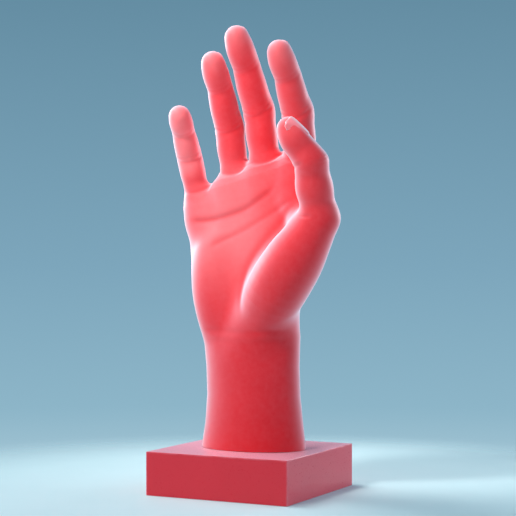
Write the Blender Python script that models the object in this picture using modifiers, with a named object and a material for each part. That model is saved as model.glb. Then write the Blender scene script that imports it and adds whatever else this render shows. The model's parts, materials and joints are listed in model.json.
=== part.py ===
"""Poseable cosmetic prosthetic right hand on a square display plinth.

The palm faces -Y, the fingers point up (+Z) and the thumb is on the +X side.
The frame's origin is the centre of the plinth's underside. Sizes below are in
millimetres and become metres through MM.
"""
import bpy
import bmesh
from math import sin, cos, tan, pi, radians, sqrt, hypot, atan2
from mathutils import Matrix, Vector

MM = 0.001
GAP = 0.3              # clearance between touching pieces

# plinth and wrist fastening -------------------------------------------------
PLINTH_SIDE = 96.0
PLINTH_HEIGHT = 26.8
PLINTH_EDGE = 0.35     # tiny broken edge
INSERT_RADIUS = 9.0
INSERT_DEPTH = 17.8
STUD_RADIUS = 6.0      # M12
STUD_TOP = 80.0
DISC_RADIUS = 18.0
BUSH_RADIUS = 10.0
BLOCK_TOP = 86.0
POCKET_FLOOR = 60.0
POCKET_RADIUS = 14.5
NUT_FLATS = 19.0

# hand -----------------------------------------------------------------------
WALL = 3.0             # silicone wall over the palm
CUFF_BOTTOM = PLINTH_HEIGHT + 0.4
PALM_TOP = 198.0       # height of the web line above the wrist axis
WEB_SLOPE = 0.28       # the web line falls towards the little finger
# height, centre x, half breadth, half thickness, squareness, slope
PALM_SECTIONS = (
    (CUFF_BOTTOM, 1.5, 34.6, 23.8, 2.0, 0.0),
    (42.0, 1.8, 32.6, 22.8, 2.0, 0.0),
    (60.0, 1.5, 31.0, 22.0, 2.0, 0.0),
    (78.0, 0.8, 31.0, 21.5, 2.0, 0.0),
    (97.0, 0.0, 32.6, 20.5, 2.1, 0.0),
    (113.0, -3.0, 34.5, 18.5, 2.2, 0.0),
    (130.0, -3.2, 37.0, 17.0, 2.3, 0.0),
    (150.0, -3.2, 40.0, 15.5, 2.4, 0.0),
    (168.0, -1.8, 42.8, 14.5, 2.5, 0.10),
    (184.0, -0.3, 44.5, 13.8, 2.5, 0.20),
    (194.5, 1.2, 43.8, 12.9, 2.5, 0.26),
    (PALM_TOP, 1.4, 41.0, 10.5, 2.4, WEB_SLOPE),
)
PALM_POINTS = 40

# each finger: centre at the web, lean and twist in degrees, tilt of its three
# bones from upright, lengths web to middle hinge to end hinge to tip, and the
# half widths at web, middle hinge, end hinge and pad
FINGERS = {
    "index": dict(web=(35.0, 0.0, 206.0), lean=2.0, twist=-6.0,
                  tilt=(14.0, 31.0, 36.0), length=(30.0, 23.5, 24.5),
                  half=(10.0, 9.7, 8.5, 7.7)),
    "long": dict(web=(9.0, 2.0, 204.5), lean=-2.0, twist=0.0,
                 tilt=(13.0, 30.0, 34.0), length=(34.0, 29.0, 27.5),
                 half=(9.7, 9.5, 8.6, 7.9)),
    "ring": dict(web=(-12.0, 1.0, 198.5), lean=-1.0, twist=3.0,
                 tilt=(15.0, 28.5, 32.5), length=(30.0, 26.0, 25.0),
                 half=(8.9, 8.7, 8.0, 7.4)),
    "little": dict(web=(-36.6, -4.0, 187.0), lean=-13.0, twist=25.0,
                   tilt=(18.0, 33.0, 44.0), length=(23.5, 17.3, 19.0),
                   half=(8.0, 7.4, 7.0, 6.7)),
}
KNUCKLE_UP = 8.0       # knuckle hinge above the web
# travel in degrees (straightening, bending) at knuckle, middle and end hinge
TRAVEL = {
    "index": ((10, 30), (10, 45), (5, 30)),
    "long": ((10, 45), (10, 50), (5, 30)),
    "ring": ((10, 45), (10, 50), (5, 30)),
    "little": ((10, 45), (10, 50), (5, 30)),
}
# thumb: its knuckle, its end hinge and its tip
THUMB_KNUCKLE = (57.5, -21.0, 170.0)
THUMB_END = (57.0, -35.0, 203.6)
THUMB_TIP = (47.8, -46.5, 229.0)
THUMB_HALF = (10.8, 10.3, 9.2)
THUMB_TRAVEL = ((20, 35), (15, 40))
# the ball of the thumb: centre and radius from the wrist to the knuckle
THENAR = (
    ((6.0, -5.0, 98.0), 12.5),
    ((15.0, -9.0, 111.0), 16.5),
    ((25.5, -14.0, 126.0), 18.4),
    ((37.0, -17.0, 142.0), 17.6),
    ((48.0, -19.5, 156.5), 13.8),
    ((50.5, -20.0, 160.0), 9.5),
)
# the web of flesh between the thumb and the index finger
THUMB_WEB = (
    ((16.0, -1.0, 164.0), 10.0),
    ((33.0, -7.0, 161.0), 12.0),
    ((47.0, -15.0, 158.0), 11.0),
)

# links and pins -------------------------------------------------------------
BORE = 5.0             # channel through a finger skin
LINK_HALF = 3.0        # half depth of a link, and its eye radius
CHEEK = 3.4            # half width over the fork
SLOT = 1.5             # half width of the fork slot
TONGUE = 1.2           # half width of the eye
PIN = 1.1
PIN_HOLE = 1.4
SHOULDER = 4.2         # the bar starts this far from the hinge
FORK_DEPTH = 4.0
RING_POINTS = 20
HINGE_GAP = 0.5

# palm frame plate -----------------------------------------------------------
PLATE_Y = 2.5
PLATE_HALF = 1.5
LEG_INNER, LEG_OUTER = 17.5, 24.5
LEG_BOTTOM = 66.0
SCREW_HEIGHT = 76.0
SCREW_SEAT = -4.4      # the screws' heads seat this far forward
SCREW_X = 20.0
SCREW_RADIUS = 1.8
FOAM_FRONT = -2.8
FOAM_BACK = 7.9
FOAM_LOW, FOAM_HIGH = 93.0, 167.0
FOOT_ANCHOR = (20.0, -1.0, 110.0)
BRACKET_SCREW = (18.0, 106.0)

# ---------------------------------------------------------------------------
for ob in list(bpy.data.objects):
    bpy.data.objects.remove(ob, do_unlink=True)

parts = bpy.data.collections.new("prosthetic_hand")
bpy.context.scene.collection.children.link(parts)

MATERIALS = {
    "skin": ((0.72, 0.075, 0.085), 0.38, 0.0),
    "plinth": ((0.60, 0.10, 0.15), 0.45, 0.0),
    "aluminium": ((0.72, 0.73, 0.75), 0.35, 1.0),
    "steel": ((0.55, 0.56, 0.58), 0.30, 1.0),
    "brass": ((0.78, 0.57, 0.22), 0.35, 1.0),
    "nylon": ((0.85, 0.84, 0.80), 0.50, 0.0),
    "core": ((0.12, 0.12, 0.13), 0.60, 0.0),
    "foam": ((0.80, 0.66, 0.50), 0.90, 0.0),
}


def material(name, kind):
    colour, rough, metal = MATERIALS[kind]
    mat = bpy.data.materials.new(name)
    mat.use_nodes = True
    bsdf = mat.node_tree.nodes["Principled BSDF"]
    bsdf.inputs["Base Color"].default_value = (*colour, 1.0)
    bsdf.inputs["Roughness"].default_value = rough
    bsdf.inputs["Metallic"].default_value = metal
    mat.diffuse_color = (*colour, 1.0)
    return mat


def link_object(name, mesh):
    ob = bpy.data.objects.new(name, mesh)
    parts.objects.link(ob)
    return ob


def finish(ob, kind, angle=40.0):
    """Own material and smooth shading on round faces."""
    ob.data.materials.clear()
    ob.data.materials.append(material(ob.name, kind))
    ob.data.shade_smooth()
    ob.data.set_sharp_from_angle(angle=radians(angle))
    return ob


def bake(ob):
    """Turn an object's modifiers into its mesh."""
    graph = bpy.context.evaluated_depsgraph_get()
    graph.update()
    mesh = bpy.data.meshes.new_from_object(ob.evaluated_get(graph))
    ob.modifiers.clear()
    old = ob.data
    ob.data = mesh
    bpy.data.meshes.remove(old)
    return ob


def boolean(ob, tool, operation):
    mod = ob.modifiers.new("boolean", "BOOLEAN")
    mod.operation = operation
    mod.solver = "EXACT"
    mod.object = tool
    bake(ob)
    bpy.data.objects.remove(tool, do_unlink=True)
    return ob


def cut(ob, tool):
    return boolean(ob, tool, "DIFFERENCE")


def join(ob, tool):
    return boolean(ob, tool, "UNION")


def from_bmesh(name, bm):
    bmesh.ops.recalc_face_normals(bm, faces=bm.faces)
    mesh = bpy.data.meshes.new(name)
    bm.to_mesh(mesh)
    bm.free()
    return link_object(name, mesh)


def box(name, low, high):
    bm = bmesh.new()
    bmesh.ops.create_cube(bm, size=1.0)
    size = [h - l for l, h in zip(low, high)]
    mid = [(h + l) / 2 for l, h in zip(low, high)]
    for v in bm.verts:
        v.co = Vector([(c * s + m) * MM for c, s, m in zip(v.co, size, mid)])
    return from_bmesh(name, bm)


def cylinder(name, start, end, radius, segments=24):
    """Round bar between two points in millimetres."""
    start, end = Vector(start), Vector(end)
    axis = end - start
    bm = bmesh.new()
    bmesh.ops.create_cone(bm, cap_ends=True, segments=segments,
                          radius1=radius * MM, radius2=radius * MM,
                          depth=axis.length * MM)
    turn = axis.to_track_quat("Z", "Y").to_matrix().to_4x4()
    place = Matrix.Translation((start + end) / 2 * MM) @ turn
    bmesh.ops.transform(bm, matrix=place, verts=bm.verts)
    return from_bmesh(name, bm)


def turned(name, profile, steps=32, closed=False):
    """Profile of (radius, height) points, outer side from top to bottom."""
    mesh = bpy.data.meshes.new(name)
    edges = [(i, i + 1) for i in range(len(profile) - 1)]
    if closed:
        edges.append((len(profile) - 1, 0))
    mesh.from_pydata([(r * MM, 0.0, z * MM) for r, z in profile], edges, [])
    ob = link_object(name, mesh)
    mod = ob.modifiers.new("turn", "SCREW")
    mod.axis = "Z"
    mod.angle = 2 * pi
    mod.steps = mod.render_steps = steps
    mod.use_merge_vertices = True
    mod.merge_threshold = 0.00001
    mod.use_normal_calculate = True
    bake(ob)
    bm = bmesh.new()
    bm.from_mesh(ob.data)
    bmesh.ops.remove_doubles(bm, verts=bm.verts, dist=0.000005)
    bmesh.ops.recalc_face_normals(bm, faces=bm.faces)
    bm.to_mesh(ob.data)
    bm.free()
    return ob


def ring_body(name, inner, outer, low, high, chamfer=0.0, steps=32):
    c = chamfer
    profile = [(inner, high), (outer - c, high), (outer, high - c),
               (outer, low + c), (outer - c, low), (inner, low)]
    if not c:
        profile = [(inner, high), (outer, high), (outer, low), (inner, low)]
    return turned(name, profile, steps, closed=True)


def plate(name, outlines, half, place):
    """Flat outline (first spline) with holes, extruded both ways."""
    curve = bpy.data.curves.new(name, "CURVE")
    curve.dimensions = "2D"
    curve.fill_mode = "BOTH"
    curve.extrude = half * MM
    for points in outlines:
        spline = curve.splines.new("POLY")
        spline.points.add(len(points) - 1)
        for p, (x, y) in zip(spline.points, points):
            p.co = (x * MM, y * MM, 0.0, 1.0)
        spline.use_cyclic_u = True
    guide = link_object(name + "_outline", curve)
    graph = bpy.context.evaluated_depsgraph_get()
    graph.update()
    mesh = bpy.data.meshes.new_from_object(guide.evaluated_get(graph))
    bm = bmesh.new()
    bm.from_mesh(mesh)
    bmesh.ops.remove_doubles(bm, verts=bm.verts, dist=0.000005)
    bmesh.ops.transform(bm, matrix=place, verts=bm.verts)
    bpy.data.objects.remove(guide, do_unlink=True)
    bpy.data.meshes.remove(mesh)
    return from_bmesh(name, bm)


def loft(name, rings, bore=None):
    """Closed body through rings of equal count, with an optional channel."""
    bm = bmesh.new()

    def skin(rows, flip):
        rows = [[bm.verts.new(Vector(p) * MM) for p in row] for row in rows]
        n = len(rows[0])
        for low, high in zip(rows, rows[1:]):
            for i in range(n):
                j = (i + 1) % n
                quad = (low[i], low[j], high[j], high[i])
                bm.faces.new(quad[::-1] if flip else quad)
        return rows

    outer = skin(rings, False)
    if bore is None:
        bm.faces.new(outer[0][::-1])
        bm.faces.new(outer[-1])
    else:
        inner = skin(bore["rings"], True)
        n = len(outer[0])
        for i in range(n):
            j = (i + 1) % n
            bm.faces.new((outer[0][j], outer[0][i], inner[0][i], inner[0][j]))
        if bore["through"]:
            for i in range(n):
                j = (i + 1) % n
                bm.faces.new((outer[-1][i], outer[-1][j], inner[-1][j], inner[-1][i]))
        else:
            bm.faces.new(outer[-1])
            bm.faces.new(inner[-1][::-1])
    return from_bmesh(name, bm)


# skeleton --------------------------------------------------------------------
class Bone:
    """One hinged bone: origin on its near hinge, X along the hinge axis,
    Y towards the palm side and Z along the bone."""

    def __init__(self, origin, palm, along, length):
        self.origin = Vector(origin)
        self.along = Vector(along).normalized()
        self.side = Vector(palm).cross(self.along).normalized()
        self.palm = self.along.cross(self.side).normalized()
        self.length = length

    def matrix(self):
        turn = Matrix((self.side, self.palm, self.along)).transposed().to_4x4()
        return Matrix.Translation(self.origin * MM) @ turn

    def point(self, x, y, z):
        return self.origin + self.side * x + self.palm * y + self.along * z


def finger_bones(spec):
    lean, twist = radians(spec["lean"]), radians(spec["twist"])
    up = Vector((sin(lean), 0.0, cos(lean)))
    across = Vector((cos(lean), 0.0, -sin(lean)))
    bend = Vector((0.0, -1.0, 0.0)) * cos(twist) + across * sin(twist)
    bones = []
    lengths = list(spec["length"])
    lengths[0] -= KNUCKLE_UP
    for i, (tilt, length) in enumerate(zip(spec["tilt"], lengths)):
        t = radians(tilt)
        along = up * cos(t) + bend * sin(t)
        palm = bend * cos(t) - up * sin(t)
        if i == 0:
            origin = Vector(spec["web"]) + along * KNUCKLE_UP
        else:
            origin = bones[-1].origin + bones[-1].along * bones[-1].length
        bones.append(Bone(origin, palm, along, length))
    return bones


def thumb_bones():
    knuckle, end, tip = map(Vector, (THUMB_KNUCKLE, THUMB_END, THUMB_TIP))
    first, second = end - knuckle, tip - end
    axis = first.cross(second).normalized()
    bones = []
    for origin, run in ((knuckle, first), (end, second)):
        along = run.normalized()
        bones.append(Bone(origin, axis.cross(along), along, run.length))
    return bones, axis


SKELETON = {name: finger_bones(spec) for name, spec in FINGERS.items()}
THUMB, THUMB_AXIS = thumb_bones()

# empties that carry each moving body -----------------------------------------


def empty(name, matrix, parent=None):
    ob = bpy.data.objects.new(name, None)
    ob.empty_display_size = 0.01
    parts.objects.link(ob)
    ob.parent = parent
    if parent is not None:
        ob.matrix_parent_inverse = Matrix.Identity(4)
        ob.matrix_basis = parent_world[parent.name].inverted() @ matrix
    else:
        ob.matrix_basis = matrix
    parent_world[name] = matrix.copy()
    return ob


parent_world = {}
base_empty = empty("frame_base", Matrix.Identity(4))
hand_empty = empty("frame_hand", Matrix.Translation((0, 0, CUFF_BOTTOM * MM)), base_empty)


def carry(ob, holder):
    """Hang an object, modelled in world coordinates, on an empty."""
    ob.data.transform(parent_world[holder.name].inverted())
    ob.parent = holder
    ob.matrix_parent_inverse = Matrix.Identity(4)
    return ob


def carry_local(ob, holder):
    """Hang an object, modelled in the empty's own coordinates."""
    ob.parent = holder
    ob.matrix_parent_inverse = Matrix.Identity(4)
    return ob


# links ------------------------------------------------------------------------
BONE_PLANE = Matrix(((0, 0, 1, 0), (0, 1, 0, 0), (1, 0, 0, 0), (0, 0, 0, 1)))
BONE_PLANE = Matrix(((0.0, 0.0, -1.0, 0.0), (0.0, 1.0, 0.0, 0.0),
                     (1.0, 0.0, 0.0, 0.0), (0.0, 0.0, 0.0, 1.0)))


def bar_outline(start, stop, round_start, round_stop, r=LINK_HALF, n=6):
    """Side view of a bar along its bone, with round ends where asked."""
    points = []
    if round_stop:
        points += [(stop + r * cos(a), r * sin(a))
                   for a in [-pi / 2 + pi * i / n for i in range(n + 1)]]
    else:
        points += [(stop, -r), (stop, r)]
    if round_start:
        points += [(start - r * cos(a), -r * sin(a))
                   for a in [-pi / 2 + pi * i / n for i in range(n + 1)]]
    else:
        points += [(start, r), (start, -r)]
    return points


def fork_cuts(ob, at, depth=FORK_DEPTH):
    cut(ob, box("slot", (-SLOT, -LINK_HALF - 2, at - depth), (SLOT, LINK_HALF + 2, at + LINK_HALF + 2)))
    cut(ob, cylinder("hole", (-CHEEK - 2, 0, at), (CHEEK + 2, 0, at), PIN_HOLE, 12))
    return ob


def finger_link(name, length, fork):
    stop = length if fork else length - 12.0
    ob = plate(name, [bar_outline(SHOULDER, stop, False, True,)], CHEEK, BONE_PLANE)
    tongue = plate("tongue", [bar_outline(0.0, SHOULDER + 1.0, True, False)], TONGUE, BONE_PLANE)
    join(ob, tongue)
    cut(ob, cylinder("hole", (-CHEEK, 0, 0), (CHEEK, 0, 0), PIN_HOLE, 12))
    if fork:
        fork_cuts(ob, length)
    return ob


def pin(name, at):
    return cylinder(name, (-CHEEK + 0.1, 0, at), (CHEEK - 0.1, 0, at), PIN, 12)


# finger skins -------------------------------------------------------------------


def mouth(p, bend, straighten):
    """How far a sleeve stops short of its hinge, at palm-side offset p."""
    return HINGE_GAP + (p * tan(bend) if p > 0 else -p * tan(straighten))


def sleeve_rings(stations, near, far, length):
    """stations: (share of the length, half width, half depth, palm shift)."""
    rings = []
    last = len(stations) - 1
    for k, (share, wide, deep, shift) in enumerate(stations):
        ring = []
        for i in range(RING_POINTS):
            a = 2 * pi * i / RING_POINTS
            x, y = wide * cos(a), deep * sin(a)
            z = share * length
            if k == 0:
                z = mouth(y, *near)
            elif k == last and far is not None:
                z = length - mouth(y, *far)
            ring.append((x, y + (shift if 0 < k < last or far is None and k else 0.0), z))
        rings.append(ring)
    return rings


def bore_rings(radius, near, far, length, depth=None):
    rings = []
    for k in range(2):
        ring = []
        for i in range(RING_POINTS):
            a = 2 * pi * i / RING_POINTS
            x, y = radius * cos(a), radius * sin(a)
            if k == 0:
                z = mouth(y, *near)
            elif far is not None:
                z = length - mouth(y, *far)
            else:
                z = depth
            ring.append((x, y, z))
        rings.append(ring)
    return rings


def tube_skin(name, length, half_near, half_far, near, far, bore=BORE):
    """Sleeve between two hinges, a little fuller on its palm side."""
    mid = (half_near + half_far) / 2
    stations = [
        (0.0, half_near, half_near * 0.98, 0.0),
        (0.34, mid * 0.98 + 0.1, mid * 0.97, 0.35),
        (0.66, mid * 0.97 + 0.1, mid * 0.97, 0.35),
        (1.0, half_far, half_far * 0.98, 0.0),
    ]
    # the middle rings keep clear of the slanted mouths
    return loft(name, spread(sleeve_rings(stations, near, far, length)),
                dict(rings=bore_rings(bore, near, far, length), through=True))


def spread(rings):
    """Keep every side line rising: middle rings never pass an end ring."""
    n = len(rings)
    for i in range(RING_POINTS):
        low, high = rings[0][i][2], rings[-1][i][2]
        for k in range(1, n - 1):
            x, y, _ = rings[k][i]
            rings[k][i] = (x, y, low + (high - low) * k / (n - 1))
    return rings


def tip_skin(name, length, half_near, half_pad, near, bore=BORE):
    """Fingertip: sleeve with a rounded pad, flatter on the nail side."""
    reach = length
    dome = half_pad * 1.15
    stations = [(0.0, half_near, half_near * 0.98, 0.0)]
    straight = (reach - dome) / reach
    stations.append((straight * 0.6, (half_near + half_pad) / 2, half_pad * 0.98, 0.2))
    stations.append((straight, half_pad, half_pad * 0.95, 0.3))
    for a in (25, 45, 62, 77):
        t = radians(a)
        stations.append((straight + (1 - straight) * sin(t),
                         half_pad * cos(t), half_pad * 0.95 * cos(t), 0.3 + 0.6 * sin(t)))
    rings = sleeve_rings(stations, near, None, reach)
    for k in (1,):
        for i in range(RING_POINTS):
            x, y, z = rings[k][i]
            rings[k][i] = (x, y, max(z, rings[0][i][2] + 1.5))
    return loft(name, rings, dict(rings=bore_rings(bore, near, None, reach, depth=reach - 8.0),
                                  through=False))


def joint_mouths(travel, rest):
    """Half opening angles (palm side, back side) of a hinge's two mouths."""
    straighten, bend = travel
    return (radians((bend + rest) / 2), radians((straighten - rest) / 2))


def build_finger(name):
    spec, bones, travel = FINGERS[name], SKELETON[name], TRAVEL[name]
    holders = []
    parent = hand_empty
    for bone, label in zip(bones, ("proximal", "middle", "distal")):
        parent = empty(f"frame_{name}_{label}", bone.matrix(), parent)
        holders.append(parent)
    tilt, half = spec["tilt"], spec["half"]
    first = joint_mouths(travel[0], 0.0)
    second = joint_mouths(travel[1], tilt[1] - tilt[0])
    third = joint_mouths(travel[2], tilt[2] - tilt[1])
    knuckle_half = half[0]
    pieces = []
    pieces.append((finger_link(f"{name}_proximal_link", bones[0].length, True), 0, "aluminium"))
    pieces.append((finger_link(f"{name}_middle_link", bones[1].length, True), 1, "aluminium"))
    pieces.append((finger_link(f"{name}_distal_link", bones[2].length, False), 2, "aluminium"))
    pieces.append((pin(f"{name}_middle_pin", bones[0].length), 0, "steel"))
    pieces.append((pin(f"{name}_end_pin", bones[1].length), 1, "steel"))
    pieces.append((tube_skin(f"{name}_proximal_skin", bones[0].length, knuckle_half, half[1],
                             first, second), 0, "skin"))
    pieces.append((tube_skin(f"{name}_middle_skin", bones[1].length, half[1], half[2],
                             second, third), 1, "skin"))
    pieces.append((tip_skin(f"{name}_distal_skin", bones[2].length, half[2], half[3], third), 2, "skin"))
    for ob, k, kind in pieces:
        finish(carry_local(ob, holders[k]), kind)
    knuckle = pin(f"{name}_knuckle_pin", 0.0)
    knuckle.data.transform(bones[0].matrix())
    finish(carry(knuckle, hand_empty), "steel")


# palm ---------------------------------------------------------------------------


def palm_rings(inset, low=None, high=None, top_inset=0.0):
    rings = []
    for z, cx, a, b, power, slope in PALM_SECTIONS:
        ring = []
        zz = z
        if z == CUFF_BOTTOM and low is not None:
            zz = low
        if z == PALM_TOP:
            zz = z - top_inset
        if high is not None and z > high:
            continue
        aa, bb = a - inset, b - inset
        for i in range(PALM_POINTS):
            t = 2 * pi * i / PALM_POINTS
            c, s = cos(t), sin(t)
            x = aa * (abs(c) ** (2 / power)) * (1 if c >= 0 else -1) + cx
            y = bb * (abs(s) ** (2 / power)) * (1 if s >= 0 else -1)
            ring.append((x, y, zz + slope * x))
        rings.append(ring)
    return rings


def round_loft(name, centres, n=20):
    """Loft of circles that stand square to their path."""
    points = [Vector(c) for c, _ in centres]
    rings = []
    for k, (p, (_, r)) in enumerate(zip(points, centres)):
        a, b = points[max(k - 1, 0)], points[min(k + 1, len(points) - 1)]
        along = (b - a).normalized()
        side = Vector((0, 1, 0)).cross(along).normalized()
        back = along.cross(side)
        rings.append([p + (side * cos(2 * pi * i / n) + back * sin(2 * pi * i / n)) * r
                      for i in range(n)])
    return loft(name, rings)


def collar(name, bone, half, opening, depth):
    """Stub of skin below a knuckle, ending in the hinge's slanted mouth."""
    rings = []
    for k, z in enumerate((-depth, -depth * 0.5, None)):
        ring = []
        for i in range(RING_POINTS):
            a = 2 * pi * i / RING_POINTS
            grow = 1.0 if k else 0.93
            x, y = half * grow * cos(a), half * 0.98 * grow * sin(a)
            zz = -mouth(y, *opening) if z is None else z
            ring.append(bone.point(x, y, min(zz, -0.3)))
        rings.append(ring)
    return loft(name, rings)


def build_palm_skin():
    skin = loft("palm_skin", palm_rings(0.0))
    thenar = list(THENAR)
    ball = round_loft("thenar", thenar)
    join(ball, round_loft("thumb_web", THUMB_WEB))
    join(skin, ball)
    thumb_opening = joint_mouths(THUMB_TRAVEL[0], 0.0)
    join(skin, collar("thumb_collar", THUMB[0], THUMB_HALF[0], thumb_opening, 17.0))
    for name in FINGERS:
        bone = SKELETON[name][0]
        opening = joint_mouths(TRAVEL[name][0], 0.0)
        join(skin, collar("collar", bone, FINGERS[name]["half"][0], opening, 24.0))
    cavity = loft("cavity", palm_rings(WALL, low=CUFF_BOTTOM - 5.0, top_inset=WALL))
    cut(skin, cavity)
    for name in FINGERS:
        bone = SKELETON[name][0]
        cut(skin, cylinder("channel", bone.point(0, 0, 3.0), bone.point(0, 0, -26.0), BORE, 20))
    foot = bracket_foot()
    run = (foot - THUMB[0].origin).normalized()
    cut(skin, cylinder("channel", THUMB[0].origin - run * 4.0, THUMB[0].origin + run * 66.0, 6.5, 20))
    return finish(carry(skin, hand_empty), "skin", 50)


def bracket_foot():
    """Foot of the thumb bracket, moved into the thumb's bending plane."""
    foot = Vector(FOOT_ANCHOR) - THUMB[0].origin
    foot -= THUMB_AXIS * foot.dot(THUMB_AXIS)
    return THUMB[0].origin + foot


def bracket_bone():
    foot = bracket_foot()
    run = THUMB[0].origin - foot
    along = run.normalized()
    return Bone(foot, THUMB_AXIS.cross(along), along, run.length)


def build_foam():
    rings = palm_rings(WALL + 0.5, top_inset=WALL + 0.5)
    bracket = bracket_bone()
    for name, keep_front in (("palm_foam_front", True), ("palm_foam_back", False)):
        ob = loft(name, rings)
        bm = bmesh.new()
        bm.from_mesh(ob.data)
        planes = [((0, 0, FOAM_LOW), (0, 0, -1)), ((0, 0, FOAM_HIGH), (0, 0, 1))]
        if keep_front:
            planes.append(((0, FOAM_FRONT, 0), (0, 1, 0)))
        else:
            planes.append(((0, FOAM_BACK, 0), (0, -1, 0)))
        for point, normal in planes:
            geom = bm.verts[:] + bm.edges[:] + bm.faces[:]
            res = bmesh.ops.bisect_plane(bm, geom=geom, dist=1e-7, plane_co=Vector(point) * MM,
                                         plane_no=Vector(normal), clear_outer=True)
            edges = [g for g in res["geom_cut"] if isinstance(g, bmesh.types.BMEdge)]
            bmesh.ops.holes_fill(bm, edges=edges)
        bmesh.ops.recalc_face_normals(bm, faces=bm.faces)
        bm.to_mesh(ob.data)
        bm.free()
        if keep_front:
            cut(ob, cylinder("clear", bracket.point(0, 0, -6.0), bracket.point(0, 0, bracket.length), 6.2, 20))
        finish(carry(ob, hand_empty), "foam", 50)


def circle(cx, cy, r, n=16):
    return [(cx + r * cos(2 * pi * i / n), cy + r * sin(2 * pi * i / n)) for i in range(n)]


# upright plane at the plate: outline x -> world x, outline y -> world z
UPRIGHT = Matrix(((1, 0, 0, 0), (0, 0, -1, PLATE_Y * MM), (0, 1, 0, 0), (0, 0, 0, 1)))


def build_frame():
    outline = [(-LEG_OUTER, LEG_BOTTOM), (-LEG_INNER, LEG_BOTTOM), (-LEG_INNER, 90.0),
               (LEG_INNER, 90.0), (LEG_INNER, LEG_BOTTOM), (LEG_OUTER, LEG_BOTTOM),
               (LEG_OUTER, 98.0), (27.5, 112.0), (30.5, 140.0), (33.5, 170.0), (33.5, 184.0),
               (33.0, 196.0), (30.0, 196.0), (26.0, 191.0), (15.0, 190.0), (4.0, 193.0),
               (-6.0, 187.0), (-17.0, 184.0), (-24.0, 174.0), (-30.0, 176.0), (-39.0, 174.0),
               (-38.0, 160.0), (-33.5, 138.0), (-29.0, 112.0), (-LEG_OUTER, 98.0)]
    holes = [circle(-8.0, 112.0, 7.0), circle(0.0, 136.0, 8.5), circle(0.0, 162.0, 8.5),
             circle(-19.0, 148.0, 6.0), circle(19.0, 150.0, 6.0)]
    frame = plate("palm_frame", [outline] + holes, PLATE_HALF, UPRIGHT)
    for name in FINGERS:
        bone = SKELETON[name][0]
        down = 34.0 if name == "little" else 24.0
        fork = plate("fork", [bar_outline(-down, 0.0, False, True)], CHEEK, BONE_PLANE)
        fork_cuts(fork, 0.0)
        fork.data.transform(bone.matrix())
        join(frame, fork)
    for x in (-SCREW_X, SCREW_X):
        cut(frame, cylinder("hole", (x, PLATE_Y - 6, SCREW_HEIGHT), (x, PLATE_Y + 6, SCREW_HEIGHT), SCREW_RADIUS + GAP, 12))
    x, z = BRACKET_SCREW
    cut(frame, cylinder("hole", (x, PLATE_Y - 6, z), (x, PLATE_Y + 6, z), SCREW_RADIUS + GAP, 12))
    finish(carry(frame, hand_empty), "aluminium", 30)


def build_bracket():
    bone = bracket_bone()
    bar = plate("thumb_bracket", [bar_outline(10.0, bone.length, False, True)], CHEEK, BONE_PLANE)
    fork_cuts(bar, bone.length)
    bar.data.transform(bone.matrix())
    front = PLATE_Y - PLATE_HALF - GAP
    foot = box("foot", (11.0, front - 3.0, 100.0), (26.5, front, 125.0))
    join(bar, foot)
    x, z = BRACKET_SCREW
    cut(bar, cylinder("hole", (x, front - 6, z), (x, front + 3, z), SCREW_RADIUS + GAP, 12))
    finish(carry(bar, hand_empty), "aluminium", 30)
    back = PLATE_Y + PLATE_HALF + GAP
    screw = turned("bracket_screw", [(0.0, 2.2), (3.2, 2.2), (3.2, 0.0), (SCREW_RADIUS, 0.0),
                                     (SCREW_RADIUS, -(back - front + 2.6)), (0.0, -(back - front + 2.6))], 16)
    screw.data.transform(Matrix.Translation((x * MM, back * MM, z * MM)) @ Matrix.Rotation(-pi / 2, 4, "X"))
    finish(carry(screw, hand_empty), "steel", 30)
    knuckle = pin("thumb_knuckle_pin", 0.0)
    knuckle.data.transform(THUMB[0].matrix())
    finish(carry(knuckle, hand_empty), "steel")


def build_thumb():
    first = joint_mouths(THUMB_TRAVEL[0], 0.0)
    rest = 180 / pi * THUMB[0].along.angle(THUMB[1].along)
    second = joint_mouths(THUMB_TRAVEL[1], rest)
    proximal = empty("frame_thumb_proximal", THUMB[0].matrix(), hand_empty)
    distal = empty("frame_thumb_distal", THUMB[1].matrix(), proximal)
    pieces = [
        (finger_link("thumb_proximal_link", THUMB[0].length, True), proximal, "aluminium"),
        (finger_link("thumb_distal_link", THUMB[1].length, False), distal, "aluminium"),
        (pin("thumb_end_pin", THUMB[0].length), proximal, "steel"),
        (tube_skin("thumb_proximal_skin", THUMB[0].length, THUMB_HALF[0], THUMB_HALF[1],
                   first, second, 5.6), proximal, "skin"),
        (tip_skin("thumb_distal_skin", THUMB[1].length, THUMB_HALF[1], THUMB_HALF[2], second, 5.6),
         distal, "skin"),
    ]
    for ob, holder, kind in pieces:
        finish(carry_local(ob, holder), kind)


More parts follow.
